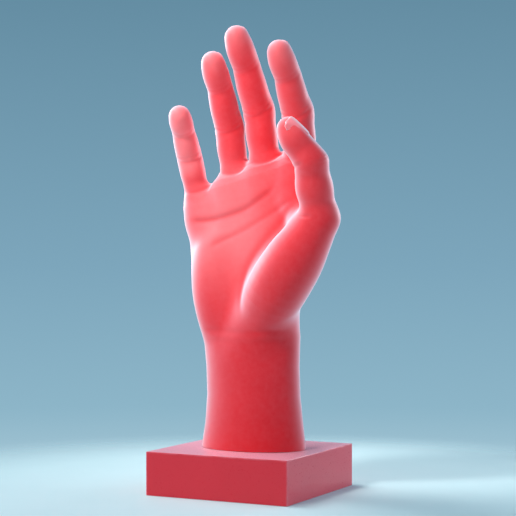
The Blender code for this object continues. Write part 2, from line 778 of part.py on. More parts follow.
def build_wrist():
    rings = []
    inset = WALL + 1.0
    for z in (CUFF_BOTTOM + 1.7, 42.0, 60.0, 78.0, BLOCK_TOP):
        # section of the wrist at this height, between the listed ones
        for low, high in zip(PALM_SECTIONS, PALM_SECTIONS[1:]):
            if low[0] <= z <= high[0]:
                t = (z - low[0]) / (high[0] - low[0])
                cx, a, b = (low[k] + (high[k] - low[k]) * t for k in (1, 2, 3))
                rings.append([(cx + (a - inset) * cos(2 * pi * i / PALM_POINTS),
                               (b - inset) * sin(2 * pi * i / PALM_POINTS), z)
                              for i in range(PALM_POINTS)])
                break
    block = loft("wrist_block", rings)
    cut(block, cylinder("bore", (0, 0, 20.0), (0, 0, POCKET_FLOOR + 1.0), BUSH_RADIUS + GAP, 32))
    cut(block, cylinder("pocket", (0, 0, POCKET_FLOOR), (0, 0, BLOCK_TOP + 5.0), POCKET_RADIUS, 32))
    for s in (-1, 1):
        x0, x1 = sorted((s * (LEG_INNER - GAP), s * (LEG_OUTER + GAP)))
        cut(block, box("leg_slot", (x0, PLATE_Y - PLATE_HALF - GAP, LEG_BOTTOM - GAP),
                       (x1, PLATE_Y + PLATE_HALF + GAP, BLOCK_TOP + 5.0)))
        x = s * SCREW_X
        cut(block, cylinder("hole", (x, -9.0, SCREW_HEIGHT), (x, 9.6, SCREW_HEIGHT), SCREW_RADIUS + GAP, 12))
        cut(block, cylinder("sink", (x, -30.0, SCREW_HEIGHT), (x, SCREW_SEAT, SCREW_HEIGHT), 3.5, 16))
    finish(carry(block, hand_empty), "core", 30)
    bush = ring_body("wrist_bush", STUD_RADIUS + GAP + 0.1, BUSH_RADIUS, CUFF_BOTTOM + 2.0, POCKET_FLOOR - GAP, 0.5)
    finish(carry(bush, hand_empty), "brass", 30)
    for label, x in (("left", -SCREW_X), ("right", SCREW_X)):
        screw = turned(f"frame_screw_{label}", [(0.0, 2.4), (2.4, 2.4), (3.0, 1.8), (3.0, 0.0), (SCREW_RADIUS, 0.0),
                                                (SCREW_RADIUS, -12.6), (SCREW_RADIUS - 0.5, -13.1), (0.0, -13.1)], 16)
        screw.data.transform(Matrix.Translation((x * MM, (SCREW_SEAT - GAP) * MM, SCREW_HEIGHT * MM)) @ Matrix.Rotation(pi / 2, 4, "X"))
        finish(carry(screw, hand_empty), "steel", 30)


def build_base():
    half = PLINTH_SIDE / 2
    plinth = box("plinth", (-half, -half, 0.0), (half, half, PLINTH_HEIGHT))
    bevel = plinth.modifiers.new("edge", "BEVEL")
    bevel.width = PLINTH_EDGE * MM
    bevel.segments = 2
    bevel.limit_method = "ANGLE"
    bake(plinth)
    low = PLINTH_HEIGHT - INSERT_DEPTH
    cut(plinth, cylinder("socket", (0, 0, low - GAP), (0, 0, PLINTH_HEIGHT + 3), INSERT_RADIUS + GAP, 32))
    pieces = [
        (plinth, "plinth"),
        (ring_body("stud_insert", STUD_RADIUS + GAP, INSERT_RADIUS, low, PLINTH_HEIGHT - GAP, 0.6), "brass"),
        (turned("wrist_stud", [(0.0, STUD_TOP), (STUD_RADIUS - 1.0, STUD_TOP), (STUD_RADIUS, STUD_TOP - 1.0),
                               (STUD_RADIUS, low + 1.2), (STUD_RADIUS - 1.0, low + 0.2), (0.0, low + 0.2)]), "steel"),
        (ring_body("friction_disc", STUD_RADIUS + GAP, DISC_RADIUS, PLINTH_HEIGHT + GAP, PLINTH_HEIGHT + 1.8), "nylon"),
        (ring_body("clamp_washer", STUD_RADIUS + GAP, 13.5, POCKET_FLOOR + GAP, POCKET_FLOOR + 2.3), "steel"),
        (turned("spring_washer", [(6.6, POCKET_FLOOR + 5.4), (12.0, POCKET_FLOOR + 4.2), (12.0, POCKET_FLOOR + 2.7),
                                  (6.6, POCKET_FLOOR + 3.9)], 32, closed=True), "steel"),
    ]
    nut_low = POCKET_FLOOR + 5.8
    nut = cylinder("clamp_nut", (0, 0, nut_low), (0, 0, nut_low + 10.0), NUT_FLATS / sqrt(3), 6)
    edge = nut.modifiers.new("edge", "BEVEL")
    edge.width = 0.5 * MM
    edge.segments = 1
    edge.limit_method = "ANGLE"
    bake(nut)
    cut(nut, cylinder("thread", (0, 0, nut_low - 2), (0, 0, nut_low + 12.0), STUD_RADIUS + GAP, 32))
    pieces.append((nut, "steel"))
    for ob, kind in pieces:
        finish(carry(ob, base_empty), kind, 30)


build_base()
build_wrist()
build_frame()
build_bracket()
build_foam()
build_palm_skin()
for finger in FINGERS:
    build_finger(finger)
build_thumb()
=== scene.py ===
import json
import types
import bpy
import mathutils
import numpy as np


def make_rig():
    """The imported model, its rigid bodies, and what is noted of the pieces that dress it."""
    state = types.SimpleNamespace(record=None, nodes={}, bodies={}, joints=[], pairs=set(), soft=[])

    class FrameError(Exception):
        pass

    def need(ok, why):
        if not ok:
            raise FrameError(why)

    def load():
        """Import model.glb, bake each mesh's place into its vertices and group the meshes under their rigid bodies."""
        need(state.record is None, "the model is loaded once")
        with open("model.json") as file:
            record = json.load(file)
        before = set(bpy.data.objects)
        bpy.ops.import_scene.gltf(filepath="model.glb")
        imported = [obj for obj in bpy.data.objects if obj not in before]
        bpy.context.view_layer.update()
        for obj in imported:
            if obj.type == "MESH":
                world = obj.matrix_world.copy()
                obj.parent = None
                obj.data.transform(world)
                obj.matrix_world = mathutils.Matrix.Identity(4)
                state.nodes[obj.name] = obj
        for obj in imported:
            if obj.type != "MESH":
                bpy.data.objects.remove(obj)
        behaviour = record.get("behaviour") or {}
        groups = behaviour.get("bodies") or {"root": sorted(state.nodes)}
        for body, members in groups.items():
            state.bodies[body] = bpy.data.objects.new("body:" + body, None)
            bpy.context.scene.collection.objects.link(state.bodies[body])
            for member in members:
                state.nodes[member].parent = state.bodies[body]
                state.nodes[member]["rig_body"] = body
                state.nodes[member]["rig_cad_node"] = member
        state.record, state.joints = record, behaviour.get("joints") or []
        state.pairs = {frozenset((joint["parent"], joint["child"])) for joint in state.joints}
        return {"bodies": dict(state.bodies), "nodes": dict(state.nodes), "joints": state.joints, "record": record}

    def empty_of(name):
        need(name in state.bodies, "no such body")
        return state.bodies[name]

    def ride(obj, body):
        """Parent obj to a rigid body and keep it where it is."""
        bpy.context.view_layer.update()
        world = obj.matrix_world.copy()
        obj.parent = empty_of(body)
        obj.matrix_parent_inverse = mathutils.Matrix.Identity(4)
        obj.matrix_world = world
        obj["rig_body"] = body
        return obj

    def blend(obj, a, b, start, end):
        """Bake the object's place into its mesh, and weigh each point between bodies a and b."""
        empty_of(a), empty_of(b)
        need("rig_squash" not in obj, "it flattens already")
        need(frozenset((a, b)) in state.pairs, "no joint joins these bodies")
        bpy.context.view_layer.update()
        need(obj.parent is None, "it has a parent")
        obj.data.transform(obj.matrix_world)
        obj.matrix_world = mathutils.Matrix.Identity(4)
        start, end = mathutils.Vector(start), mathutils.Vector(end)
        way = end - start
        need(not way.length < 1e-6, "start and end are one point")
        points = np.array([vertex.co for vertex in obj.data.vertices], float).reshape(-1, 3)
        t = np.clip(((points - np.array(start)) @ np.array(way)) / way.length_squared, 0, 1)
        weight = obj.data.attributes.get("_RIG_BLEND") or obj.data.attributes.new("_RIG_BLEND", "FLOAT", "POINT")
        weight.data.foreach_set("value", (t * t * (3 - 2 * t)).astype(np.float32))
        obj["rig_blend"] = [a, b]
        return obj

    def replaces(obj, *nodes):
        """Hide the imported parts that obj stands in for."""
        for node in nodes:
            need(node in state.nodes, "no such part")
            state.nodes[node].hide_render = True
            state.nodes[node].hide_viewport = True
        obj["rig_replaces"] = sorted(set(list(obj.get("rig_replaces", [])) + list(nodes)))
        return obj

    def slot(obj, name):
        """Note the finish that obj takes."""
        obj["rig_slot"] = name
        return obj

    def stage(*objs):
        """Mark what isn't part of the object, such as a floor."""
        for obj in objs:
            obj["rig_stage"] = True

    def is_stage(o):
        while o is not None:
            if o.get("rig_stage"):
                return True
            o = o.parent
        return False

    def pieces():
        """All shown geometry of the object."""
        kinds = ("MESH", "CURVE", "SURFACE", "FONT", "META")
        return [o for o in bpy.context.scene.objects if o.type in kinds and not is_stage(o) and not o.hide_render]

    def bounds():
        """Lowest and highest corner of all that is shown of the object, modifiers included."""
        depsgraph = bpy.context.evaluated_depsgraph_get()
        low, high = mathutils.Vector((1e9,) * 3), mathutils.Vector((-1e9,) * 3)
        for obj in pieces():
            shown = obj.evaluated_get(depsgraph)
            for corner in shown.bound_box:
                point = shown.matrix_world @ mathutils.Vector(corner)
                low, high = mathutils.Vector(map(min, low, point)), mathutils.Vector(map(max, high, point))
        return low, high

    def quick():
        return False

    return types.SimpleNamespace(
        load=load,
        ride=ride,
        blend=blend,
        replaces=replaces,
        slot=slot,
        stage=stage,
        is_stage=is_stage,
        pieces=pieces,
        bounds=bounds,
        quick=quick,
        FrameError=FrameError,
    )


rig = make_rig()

import sys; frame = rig.load()
"""Looks of the poseable prosthetic hand: one moulded silicone glove, modelled
as a blended solid of phalanges, pads and folds, on its plinth. Lengths in the
shape code are millimetres."""
import bpy
import bmesh
import numpy as np
from math import sin, cos, tan, pi, radians, sqrt
from mathutils import Vector, Matrix


FINGERS = {
    "index": dict(web=(35.0, 0.0, 206.0), lean=2.0, twist=-6.0,
                  tilt=(14.0, 31.0, 36.0), length=(30.0, 23.5, 24.5),
                  r=(10.0, 9.2, 9.5, 8.3, 8.2, 6.9), nail=0.70),
    "long": dict(web=(9.0, 2.0, 204.5), lean=-2.0, twist=0.0,
                 tilt=(13.0, 30.0, 34.0), length=(34.0, 29.0, 27.5),
                 r=(9.6, 9.0, 9.4, 8.5, 8.4, 7.1), nail=0.72),
    "ring": dict(web=(-12.0, 1.0, 198.5), lean=-1.0, twist=3.0,
                 tilt=(15.0, 28.5, 32.5), length=(30.0, 26.0, 25.0),
                 r=(8.8, 8.3, 8.6, 7.9, 7.8, 6.8), nail=0.70),
    "little": dict(web=(-36.6, -4.0, 187.0), lean=-13.0, twist=25.0,
                   tilt=(18.0, 33.0, 44.0), length=(23.5, 17.3, 19.0),
                   r=(7.9, 7.1, 7.2, 6.8, 6.8, 6.2), nail=0.70),
}
KNUCKLE_UP = 8.0
NAIL_ROLL = radians(22.0)        # the thumb nail faces outwards
THUMB = dict(knuckle=(57.5, -21.0, 170.0), end=(57.0, -35.0, 203.6), tip=(47.8, -46.5, 229.0),
             r=(10.2, 9.4, 10.2, 9.2, 8.9, 7.4))
# height, centre x, half breadth, half thickness front, back, squareness
SECTIONS = np.array((
    (20.0, 1.5, 35.0, 24.0, 24.0, 2.0),
    (27.2, 1.5, 34.5, 23.7, 23.7, 2.0),
    (42.0, 1.8, 32.5, 22.6, 22.6, 2.0),
    (60.0, 1.5, 30.8, 21.8, 21.8, 2.0),
    (78.0, 0.9, 30.8, 21.2, 21.2, 2.05),
    (97.0, 0.2, 32.2, 20.0, 20.0, 2.1),
    (113.0, -1.2, 32.4, 18.0, 17.5, 2.2),
    (130.0, -2.0, 35.3, 16.0, 15.8, 2.3),
    (150.0, -3.0, 39.0, 14.0, 14.8, 2.4),
    (168.0, -1.9, 41.6, 12.6, 14.0, 2.5),
    (184.0, -0.3, 43.6, 12.0, 13.0, 2.5),
    (194.0, 1.0, 42.6, 10.5, 11.6, 2.4),
    (199.0, 1.4, 39.0, 8.0, 9.5, 2.3),
    (203.0, 1.4, 34.0, 4.0, 6.0, 2.2),
))


def smin(a, b, k):
    h = np.maximum(k - np.abs(a - b), 0.0) / k
    return np.minimum(a, b) - h * h * k * 0.25


def smax(a, b, k):
    return -smin(-a, -b, k)


def step(e0, e1, x):
    t = np.clip((x - e0) / (e1 - e0), 0.0, 1.0)
    return t * t * (3.0 - 2.0 * t)


def bump(x, width):
    return np.exp(-(x / width) ** 2)


def round_cone(p, a, b, r1, r2):
    a, b = np.asarray(a, float), np.asarray(b, float)
    ba = b - a
    l2 = ba @ ba
    rr = r1 - r2
    a2 = l2 - rr * rr
    il2 = 1.0 / l2
    pa = p - a
    y = pa @ ba
    z = y - l2
    w = pa * l2 - y[:, None] * ba
    x2 = np.einsum("ij,ij->i", w, w)
    y2 = y * y * l2
    z2 = z * z * l2
    k = np.sign(rr) * rr * rr * x2
    out = (np.sqrt(x2 * a2 * il2) + y * rr) * il2 - r1
    m1 = np.sign(z) * a2 * z2 > k
    m2 = np.sign(y) * a2 * y2 < k
    out = np.where(m2, np.sqrt(x2 + y2) * il2 - r1, out)
    out = np.where(m1, np.sqrt(x2 + z2) * il2 - r2, out)
    return out


def ellipsoid(q, centre, radii):
    """q in the local frame of the ellipsoid."""
    d = q - np.asarray(centre, float)
    r = np.asarray(radii, float)
    k0 = np.sqrt(((d / r) ** 2).sum(1)) + 1e-9
    k1 = np.sqrt(((d / (r * r)) ** 2).sum(1)) + 1e-9
    return k0 * (k0 - 1.0) / k1


def tube(p, stops, n):
    """Round tube through a few centres, with a smoothly changing radius."""
    P = arc(np.array([(*c, r) for c, r in stops]), n)
    out = None
    for a, b in zip(P, P[1:]):
        c = round_cone(p, a[:3], b[:3], a[3], b[3])
        out = c if out is None else np.minimum(out, c)
    return out


class Bone:
    def __init__(self, origin, palm, along, length):
        self.o = np.asarray(origin, float)
        self.z = np.asarray(along, float) / np.linalg.norm(along)
        x = np.cross(palm, self.z)
        self.x = x / np.linalg.norm(x)
        self.y = np.cross(self.z, self.x)
        self.length = length
        self.basis = np.stack([self.x, self.y, self.z], 1)

    def local(self, p):
        return (p - self.o) @ self.basis

    def at(self, x, y, z):
        return self.o + self.x * x + self.y * y + self.z * z


def finger_bones(spec):
    lean, twist = radians(spec["lean"]), radians(spec["twist"])
    up = np.array((sin(lean), 0.0, cos(lean)))
    across = np.array((cos(lean), 0.0, -sin(lean)))
    bend = np.array((0.0, -1.0, 0.0)) * cos(twist) + across * sin(twist)
    bones, lengths = [], list(spec["length"])
    lengths[0] -= KNUCKLE_UP
    for i, (tilt, length) in enumerate(zip(spec["tilt"], lengths)):
        t = radians(tilt)
        along = up * cos(t) + bend * sin(t)
        palm = bend * cos(t) - up * sin(t)
        origin = np.array(spec["web"]) + along * KNUCKLE_UP if i == 0 else bones[-1].at(0, 0, bones[-1].length)
        bones.append(Bone(origin, palm, along, length))
    return bones


def thumb_bones():
    k, e, t = (np.array(THUMB[n]) for n in ("knuckle", "end", "tip"))
    axis = np.cross(e - k, t - e)
    axis /= np.linalg.norm(axis)
    out = []
    for o, run in ((k, e - k), (e, t - e)):
        along = run / np.linalg.norm(run)
        out.append(Bone(o, np.cross(axis, along), along, np.linalg.norm(run)))
    return out


BONES = {n: finger_bones(s) for n, s in FINGERS.items()}
BONES["thumb"] = thumb_bones()


def only_near(p, fn, low, high, pad=16.0):
    """fn on the points inside a box, and a far value elsewhere."""
    m = ((p > np.asarray(low) - pad) & (p < np.asarray(high) + pad)).all(1)
    out = np.full(len(p), 40.0)
    if m.any():
        out[m] = fn(p[m])
    return out


def digit_box(name):
    bones = BONES[name]
    pts = [bones[0].at(0, 0, -20.0)] + [b.o for b in bones] + [bones[-1].at(0, 0, bones[-1].length)]
    return np.min(pts, 0), np.max(pts, 0)


BOX = {n: digit_box(n) for n in BONES}


def palm_body(p):
    x, y, z = p[:, 0], p[:, 1], p[:, 2]
    slope = 0.29 * step(150.0, 200.0, z)
    zz = z - slope * x
    S = SECTIONS
    cx, a, bf, bb, n = (np.interp(zz, S[:, 0], S[:, i]) for i in range(1, 6))
    b = np.where(y < 0, bf, bb)
    X, Y = np.abs(x - cx) / a, np.abs(y) / b
    X, Y = np.maximum(X, 1e-6), np.maximum(Y, 1e-6)
    N = (X ** n + Y ** n) ** (1.0 / n)
    gx = (X / N) ** (n - 1) / a
    gy = (Y / N) ** (n - 1) / b
    g = np.sqrt(gx * gx + gy * gy)
    d = (N - 1.0) / g
    top = zz - 204.5 + 0.42 * np.maximum(-14.0 - x, 0.0) * step(-60.0, -20.0, -np.abs(x + 24.0))
    return smax(np.where(N < 0.2, -6.0, d), top, 6.0)


def digits(p, name):
    """One digit: phalanges, pads and knuckles."""
    bones = BONES[name]
    spec = FINGERS.get(name, THUMB)
    r = spec["r"]
    if name == "thumb":
        b0, b1 = bones
        L0, L1 = b0.length, b1.length
        f = round_cone(p, b0.at(0, 0, 0), b0.at(0, 0, L0 * 0.5), r[0], r[1])
        f = smin(f, round_cone(p, b0.at(0, 0, L0 * 0.5), b0.at(0, 0, L0), r[1], r[2]), 4.0)
        f = smin(f, round_cone(p, b1.at(0, 0, 0), b1.at(0, 1.2, L1 * 0.5), r[2] * 0.95, r[4]), 4.0)
        f = smin(f, round_cone(p, b1.at(0, 1.2, L1 * 0.5), b1.at(0, 3.2, L1 - 7.6), r[4], 6.9), 4.0)
        q0, q1 = b0.local(p), b1.local(p)
        f = smin(f, ellipsoid(q1, (0, 4.0, L1 * 0.5), (8.3, 7.2, L1 * 0.40)), 4.0)
        f = smin(f, ellipsoid(q0, (0, 2.6, L0 * 0.5), (8.6, 8.4, L0 * 0.36)), 6.0)
        # flat slanted back under the nail
        lean = 0.30
        out = q1[:, 0] * sin(NAIL_ROLL) - q1[:, 1] * cos(NAIL_ROLL)
        f = smax(f, (out - 9.9 + lean * q1[:, 2]) / sqrt(1 + lean * lean), 2.2)
        return f
    b0, b1, b2 = bones
    L0, L1, L2 = b0.length, b1.length, b2.length
    deep = -20.0 if name != "little" else -14.0
    f = tube(p, (
        (b0.at(0, 0, deep), r[0]),
        (b0.at(0, 0, L0 * 0.45), r[1] + 0.3),
        (b1.o, r[2] + 0.2),
        (b1.at(0, 0, L1 * 0.5), r[3] + 0.3),
        (b2.o, r[4] + 0.3),
        (b2.at(0, 0.3, (L2 - r[5]) * 0.5), 0.5 * (r[4] + r[5]) + 0.35),
        (b2.at(0, 0.5, L2 - r[5]), r[5]),
    ), 3)
    q0, q1, q2 = b0.local(p), b1.local(p), b2.local(p)
    # soft pads on the palm side
    f = smin(f, ellipsoid(q0, (0, 1.3, L0 * 0.42), (r[1] * 0.84, r[1] * 0.84, L0 * 0.46)), 5.0)
    f = smin(f, ellipsoid(q1, (0, 1.3, L1 * 0.5), (r[3] * 0.86, r[3] * 0.84, L1 * 0.46)), 5.0)
    f = smin(f, ellipsoid(q2, (0, 1.2, L2 * 0.46), (r[4] * 0.86, r[4] * 0.84, L2 * 0.44)), 4.0)
    # knuckle on the back
    f = smin(f, ellipsoid(q1, (0, -0.7, -0.5), (r[2] * 0.84, r[2] * 0.92, 9.0)), 5.0)
    return f


THENAR = (
    ((2.5, -3.5, 88.0), 13.7),
    ((13.0, -9.5, 108.0), 16.0),
    ((25.5, -15.5, 126.5), 18.6),
    ((37.8, -18.5, 143.0), 18.1),
    ((48.8, -20.3, 157.5), 14.5),
    ((56.0, -21.2, 168.0), 11.8),
)
WEB = (
    ((33.0, -1.5, 186.0), 9.0),
    ((38.0, -7.0, 173.0), 9.0),
    ((48.0, -15.0, 163.0), 9.5),
)


def crease_path(p, points):
    """Distance to a bent line in the X-Z plane, and the place along it (0 to 1)."""
    pts = np.asarray(points, float)
    seg = np.linalg.norm(np.diff(pts, axis=0), axis=1)
    total = seg.sum()
    q = p[:, (0, 2)]
    best = np.full(len(p), 1e9)
    where = np.zeros(len(p))
    run = 0.0
    for a, b, s in zip(pts, pts[1:], seg):
        d = b - a
        t = np.clip(((q - a) @ d) / (s * s), 0, 1)
        dist = np.linalg.norm(q - a - t[:, None] * d, axis=1)
        m = dist < best
        best = np.where(m, dist, best)
        where = np.where(m, (run + t * s) / total, where)
        run += s
    return best, where


def arc(points, n=14):
    """Smooth curve through a few points (Catmull-Rom)."""
    P = np.asarray(points, float)
    P = np.vstack([2 * P[0] - P[1], P, 2 * P[-1] - P[-2]])
    out = []
    for i in range(1, len(P) - 2):
        for t in np.linspace(0, 1, n, endpoint=False):
            a, b, c, d = P[i - 1], P[i], P[i + 1], P[i + 2]
            out.append(0.5 * (2 * b + (c - a) * t + (2 * a - 5 * b + 4 * c - d) * t ** 2 + (3 * b - a - 3 * c + d) * t ** 3))
    out.append(P[-2])
    return np.array(out)


HEART = arc(((-38.0, 169.0), (-25.0, 169.0), (-12.0, 171.5), (3.0, 176.5), (18.0, 185.5), (22.0, 191.0)))
HEAD = arc(((-22.0, 151.0), (-13.0, 156.5), (6.5, 166.0), (22.0, 174.5), (38.0, 182.5)))
LIFE = arc(((38.0, 180.0), (27.0, 168.5), (16.5, 157.5), (8.0, 146.5), (3.5, 136.0), (3.0, 122.0), (5.0, 110.0)))


def base_field(p):
    """Whole hand without the fine creases."""
    f = palm_body(p)
    x, y, z = p[:, 0], p[:, 1], p[:, 2]
    # heel of the palm on the little finger's side
    f = smin(f, ellipsoid(p, (-21.5, -7.0, 131.0), (14.5, 13.0, 33.0)), 10.0)
    # pads under the fingers
    for cx, cz, s in ((33.0, 192.0, 10.5), (8.5, 190.0, 10.5), (-13.0, 184.0, 10.0), (-33.0, 173.0, 9.5)):
        f = smin(f, ellipsoid(p, (cx, -5.2, cz), (s, 7.8, 13.0)), 10.0)
    # hollow of the palm
    f = smax(f, -ellipsoid(p, (1.0, -35.5, 157.0), (20.0, 20.0, 34.0)), 9.0)
    # knuckles of the back
    for n, s in (("index", 9.5), ("long", 9.5), ("ring", 9.0), ("little", 8.0)):
        w = np.array(FINGERS[n]["web"])
        f = smin(f, ellipsoid(p, (w[0] * 0.97, 6.0, w[2] - 17.5), (s, 8.4, 11.0)), 9.0)
    ends = np.array([c for c, _ in THENAR])
    th = only_near(p, lambda q: tube(q, THENAR, 4), ends.min(0), ends.max(0), 33.0)
    ends = np.array([c for c, _ in WEB])
    wb = only_near(p, lambda q: tube(q, WEB, 3), ends.min(0), ends.max(0), 24.0)
    f = smin(f, wb, 9.0)
    f = smin(f, th, 9.0)
    f = smin(f, only_near(p, lambda q: digits(q, "thumb"), *BOX["thumb"]), 6.0)
    fingers = [only_near(p, lambda q, n=n: digits(q, n), *BOX[n]) for n in ("index", "long", "ring", "little")]
    fi = fingers[0]
    for d in fingers[1:]:
        fi = smin(fi, d, 2.2)
    f = smin(f, fi, 6.5)
    return f


def detail(p):
    """Depth of creases (positive digs in)."""
    x, y, z = p[:, 0], p[:, 1], p[:, 2]
    out = np.zeros(len(p))
    front = step(-4.0, -8.0, y)
    in_palm = front * step(104.0, 112.0, z)
    for path, depth, width in ((HEART, 0.85, 2.2), (HEAD, 0.60, 2.2), (LIFE, 0.70, 2.6)):
        d, w = crease_path(p, path)
        fade = step(0.0, 0.12, w) * step(1.0, 0.86, w) * 0.85 + 0.15
        out += in_palm * depth * bump(d, width) * fade
    for name, bones in BONES.items():
        low, high = BOX[name]
        m = ((p > low - 14.0) & (p < high + 14.0)).all(1)
        if m.any():
            out[m] += digit_detail(p[m], name, bones)
    # cords of the back, fanning out to the knuckles
    back = step(4.0, 8.0, y) * step(112.0, 138.0, z)
    for n in ("index", "long", "ring", "little"):
        w = FINGERS[n]["web"]
        d, t = crease_path(p, ((w[0] * 0.42, 112.0), (w[0] * 0.97, w[2] - 20.0)))
        out -= back * 0.75 * bump(d, 2.6) * step(1.0, 0.9, t)
    # wrist creases
    for zc, s in ((100.0, 0.30), (93.5, 0.16)):
        out += step(-6.0, -13.0, y) * s * bump(z - zc - 0.0022 * (x - 3) ** 2, 2.2) * step(30.0, 22.0, np.abs(x - 3))
    return out


def digit_detail(p, name, bones):
    out = np.zeros(len(p))
    for _ in (0,):
        joints = [(1, 0.72), (2, 0.40)] if name != "thumb" else [(1, 0.9)]
        for k, depth in joints:
            b = bones[k]
            q = b.local(p)
            near = step(14.0, 11.0, np.abs(q[:, 2])) * step(15.0, 12.0, np.hypot(q[:, 0], q[:, 1]))
            palm = step(-1.0, 4.0, q[:, 1])
            # bent line: higher at the sides
            zz = q[:, 2] - 0.02 * q[:, 0] ** 2
            out += near * palm * depth * (0.62 * bump(zz + 0.4, 1.5) + 0.22 * bump(zz - 3.0, 1.0))
            back = step(-1.5, -5.0, q[:, 1])
            for dz, s in ((-4.4, 0.08), (-2.2, 0.14), (0.0, 0.18), (2.2, 0.14), (4.4, 0.08)):
                out += near * back * s * (1.0 if k == 1 else 0.6) * bump(zz - dz, 0.75)
        b = bones[0]
        q = b.local(p)
        zb = -6.0 if name != "thumb" else 3.0
        near = step(15.0, 12.0, np.hypot(q[:, 0], q[:, 1])) * step(10.0, 7.0, np.abs(q[:, 2] - zb))
        palm = step(0.0, 4.5, q[:, 1])
        out += near * palm * 0.55 * bump(q[:, 2] - zb - 0.015 * q[:, 0] ** 2, 1.5)
    return out


def field(p):
    return base_field(p) + detail(p)


LOW = np.array((-56.0, -66.0, 20.0))
HIGH = np.array((80.0, 36.0, 298.0))


def grid_field(h):
    """Field on a grid, worked out only near the surface."""
    B = 8
    n = np.ceil((HIGH - LOW) / (h * B)).astype(int)
    mid = [(np.arange(k) + 0.5) * B * h for k in n]
    C = np.stack(np.meshgrid(*mid, indexing="ij"), -1).reshape(-1, 3) + LOW
    fc = base_field(C)
    near = (np.abs(fc) < B * h * 0.9 + 4.0).reshape(n)
    F = np.repeat(np.repeat(np.repeat(fc.reshape(n), B, 0), B, 1), B, 2).astype(np.float32)
    M = np.repeat(np.repeat(np.repeat(near, B, 0), B, 1), B, 2)
    idx = np.argwhere(M)
    vals = np.empty(len(idx), np.float32)
    for s in range(0, len(idx), 150000):
        q = idx[s:s + 150000] * h + LOW
        vals[s:s + 150000] = field(q)
    F[M] = vals
    return F


def surface_nets(F, h):
    S = F < 0
    corners = [(i, j, k) for i in (0, 1) for j in (0, 1) for k in (0, 1)]
    nx, ny, nz = F.shape
    cnt = np.zeros((nx - 1, ny - 1, nz - 1), np.int8)
    for i, j, k in corners:
        cnt += S[i:nx - 1 + i, j:ny - 1 + j, k:nz - 1 + k]
    mixed = (cnt > 0) & (cnt < 8)
    cells = np.argwhere(mixed)
    index = np.full(mixed.shape, -1, np.int64)
    index[mixed] = np.arange(len(cells))
    acc = np.zeros((len(cells), 3))
    num = np.zeros(len(cells))
    for a in corners:
        for axis in range(3):
            if a[axis]:
                continue
            b = list(a)
            b[axis] = 1
            fa = F[cells[:, 0] + a[0], cells[:, 1] + a[1], cells[:, 2] + a[2]]
            fb = F[cells[:, 0] + b[0], cells[:, 1] + b[1], cells[:, 2] + b[2]]
            m = (fa < 0) != (fb < 0)
            t = fa[m] / (fa[m] - fb[m])
            q = np.tile(np.array(a, float), (m.sum(), 1))
            q[:, axis] += t
            acc[m] += q
            num[m] += 1
    verts = LOW + h * (cells + acc / num[:, None])
    quads = []
    for axis in range(3):
        u, v = (axis + 1) % 3, (axis + 2) % 3
        sl0 = [slice(1, None)] * 3
        sl1 = [slice(1, None)] * 3
        sl0[axis] = slice(0, -1)
        sl1[axis] = slice(1, None)
        A, Bq = S[tuple(sl0)], S[tuple(sl1)]
        for sign in (True, False):
            m = (A & ~Bq) if sign else (~A & Bq)
            e = np.argwhere(m)
            e[:, u] += 1
            e[:, v] += 1
            ok = (e[:, u] < F.shape[u] - 1) & (e[:, v] < F.shape[v] - 1)
            e = e[ok]
            c = []
            for du, dv in ((0, 0), (1, 0), (1, 1), (0, 1)):
                cc = e.copy()
                cc[:, u] -= du
                cc[:, v] -= dv
                c.append(index[cc[:, 0], cc[:, 1], cc[:, 2]])
            q = np.stack(c, 1)
            quads.append(q if sign else q[:, ::-1])
    quads = np.concatenate(quads)
    quads = quads[(quads >= 0).all(1)]
    return verts, quads


def gradient(p, fn, eps=0.12):
    g = np.empty_like(p)
    for k in range(3):
        d = np.zeros(3)
        d[k] = eps
        g[:, k] = (fn(p + d) - fn(p - d)) / (2 * eps)
    return g


def chunked(fn, p, size=120000):
    return np.concatenate([fn(p[s:s + size]) for s in range(0, len(p), size)])


def build(h=1.0, relax=3):
    F = grid_field(h)
    verts, quads = surface_nets(F, h)
    n = len(verts)
    edges = np.concatenate([quads[:, (0, 1)], quads[:, (1, 2)], quads[:, (2, 3)], quads[:, (3, 0)]])
    for it in range(relax + 2):
        f = chunked(field, verts)
        g = chunked(lambda q: gradient(q, field), verts)
        gg = (g * g).sum(1) + 1e-6
        stepv = -(f / gg)[:, None] * g
        ln = np.linalg.norm(stepv, axis=1)
        stepv *= np.minimum(1.0, 0.6 * h / np.maximum(ln, 1e-9))[:, None]
        verts = verts + stepv
        if it < relax:
            acc = np.zeros((n, 3))
            deg = np.bincount(edges.ravel(), minlength=n).astype(float)
            for a, b in ((0, 1), (1, 0)):
                for k in range(3):
                    acc[:, k] += np.bincount(edges[:, a], weights=verts[edges[:, b], k], minlength=n)
            lap = acc / deg[:, None] - verts
            nn = g / np.sqrt(gg)[:, None]
            lap -= (lap * nn).sum(1)[:, None] * nn
            verts = verts + 0.5 * lap
    g = chunked(lambda q: gradient(q, field, 0.2), verts)
    normals = g / np.linalg.norm(g, axis=1)[:, None]
    return verts, quads, normals

# ---------------------------------------------------------------------------
# pieces of the glove
MM = 0.001
CUFF = 26.98           # lower edge of the glove, just above the plinth
START, STOP = -6.5, 8.5          # knuckle bend, along the first bone
HALF_BEND = {"index": (10.0, 8.0), "long": (11.0, 9.0), "ring": (10.0, 8.5), "little": (7.0, 6.5)}
THUMB_TILT = radians(25.0)
THUMB_RUN = (-4.0, 14.0)
THUMB_HALF_BEND = 11.0


def thumb_reach(p):
    """How far a point is along the thumb's first bend, measured on a tilted line."""
    b = BONES["thumb"][0]
    q = b.local(p)
    return q[:, 2] * cos(THUMB_TILT) - q[:, 1] * sin(THUMB_TILT)


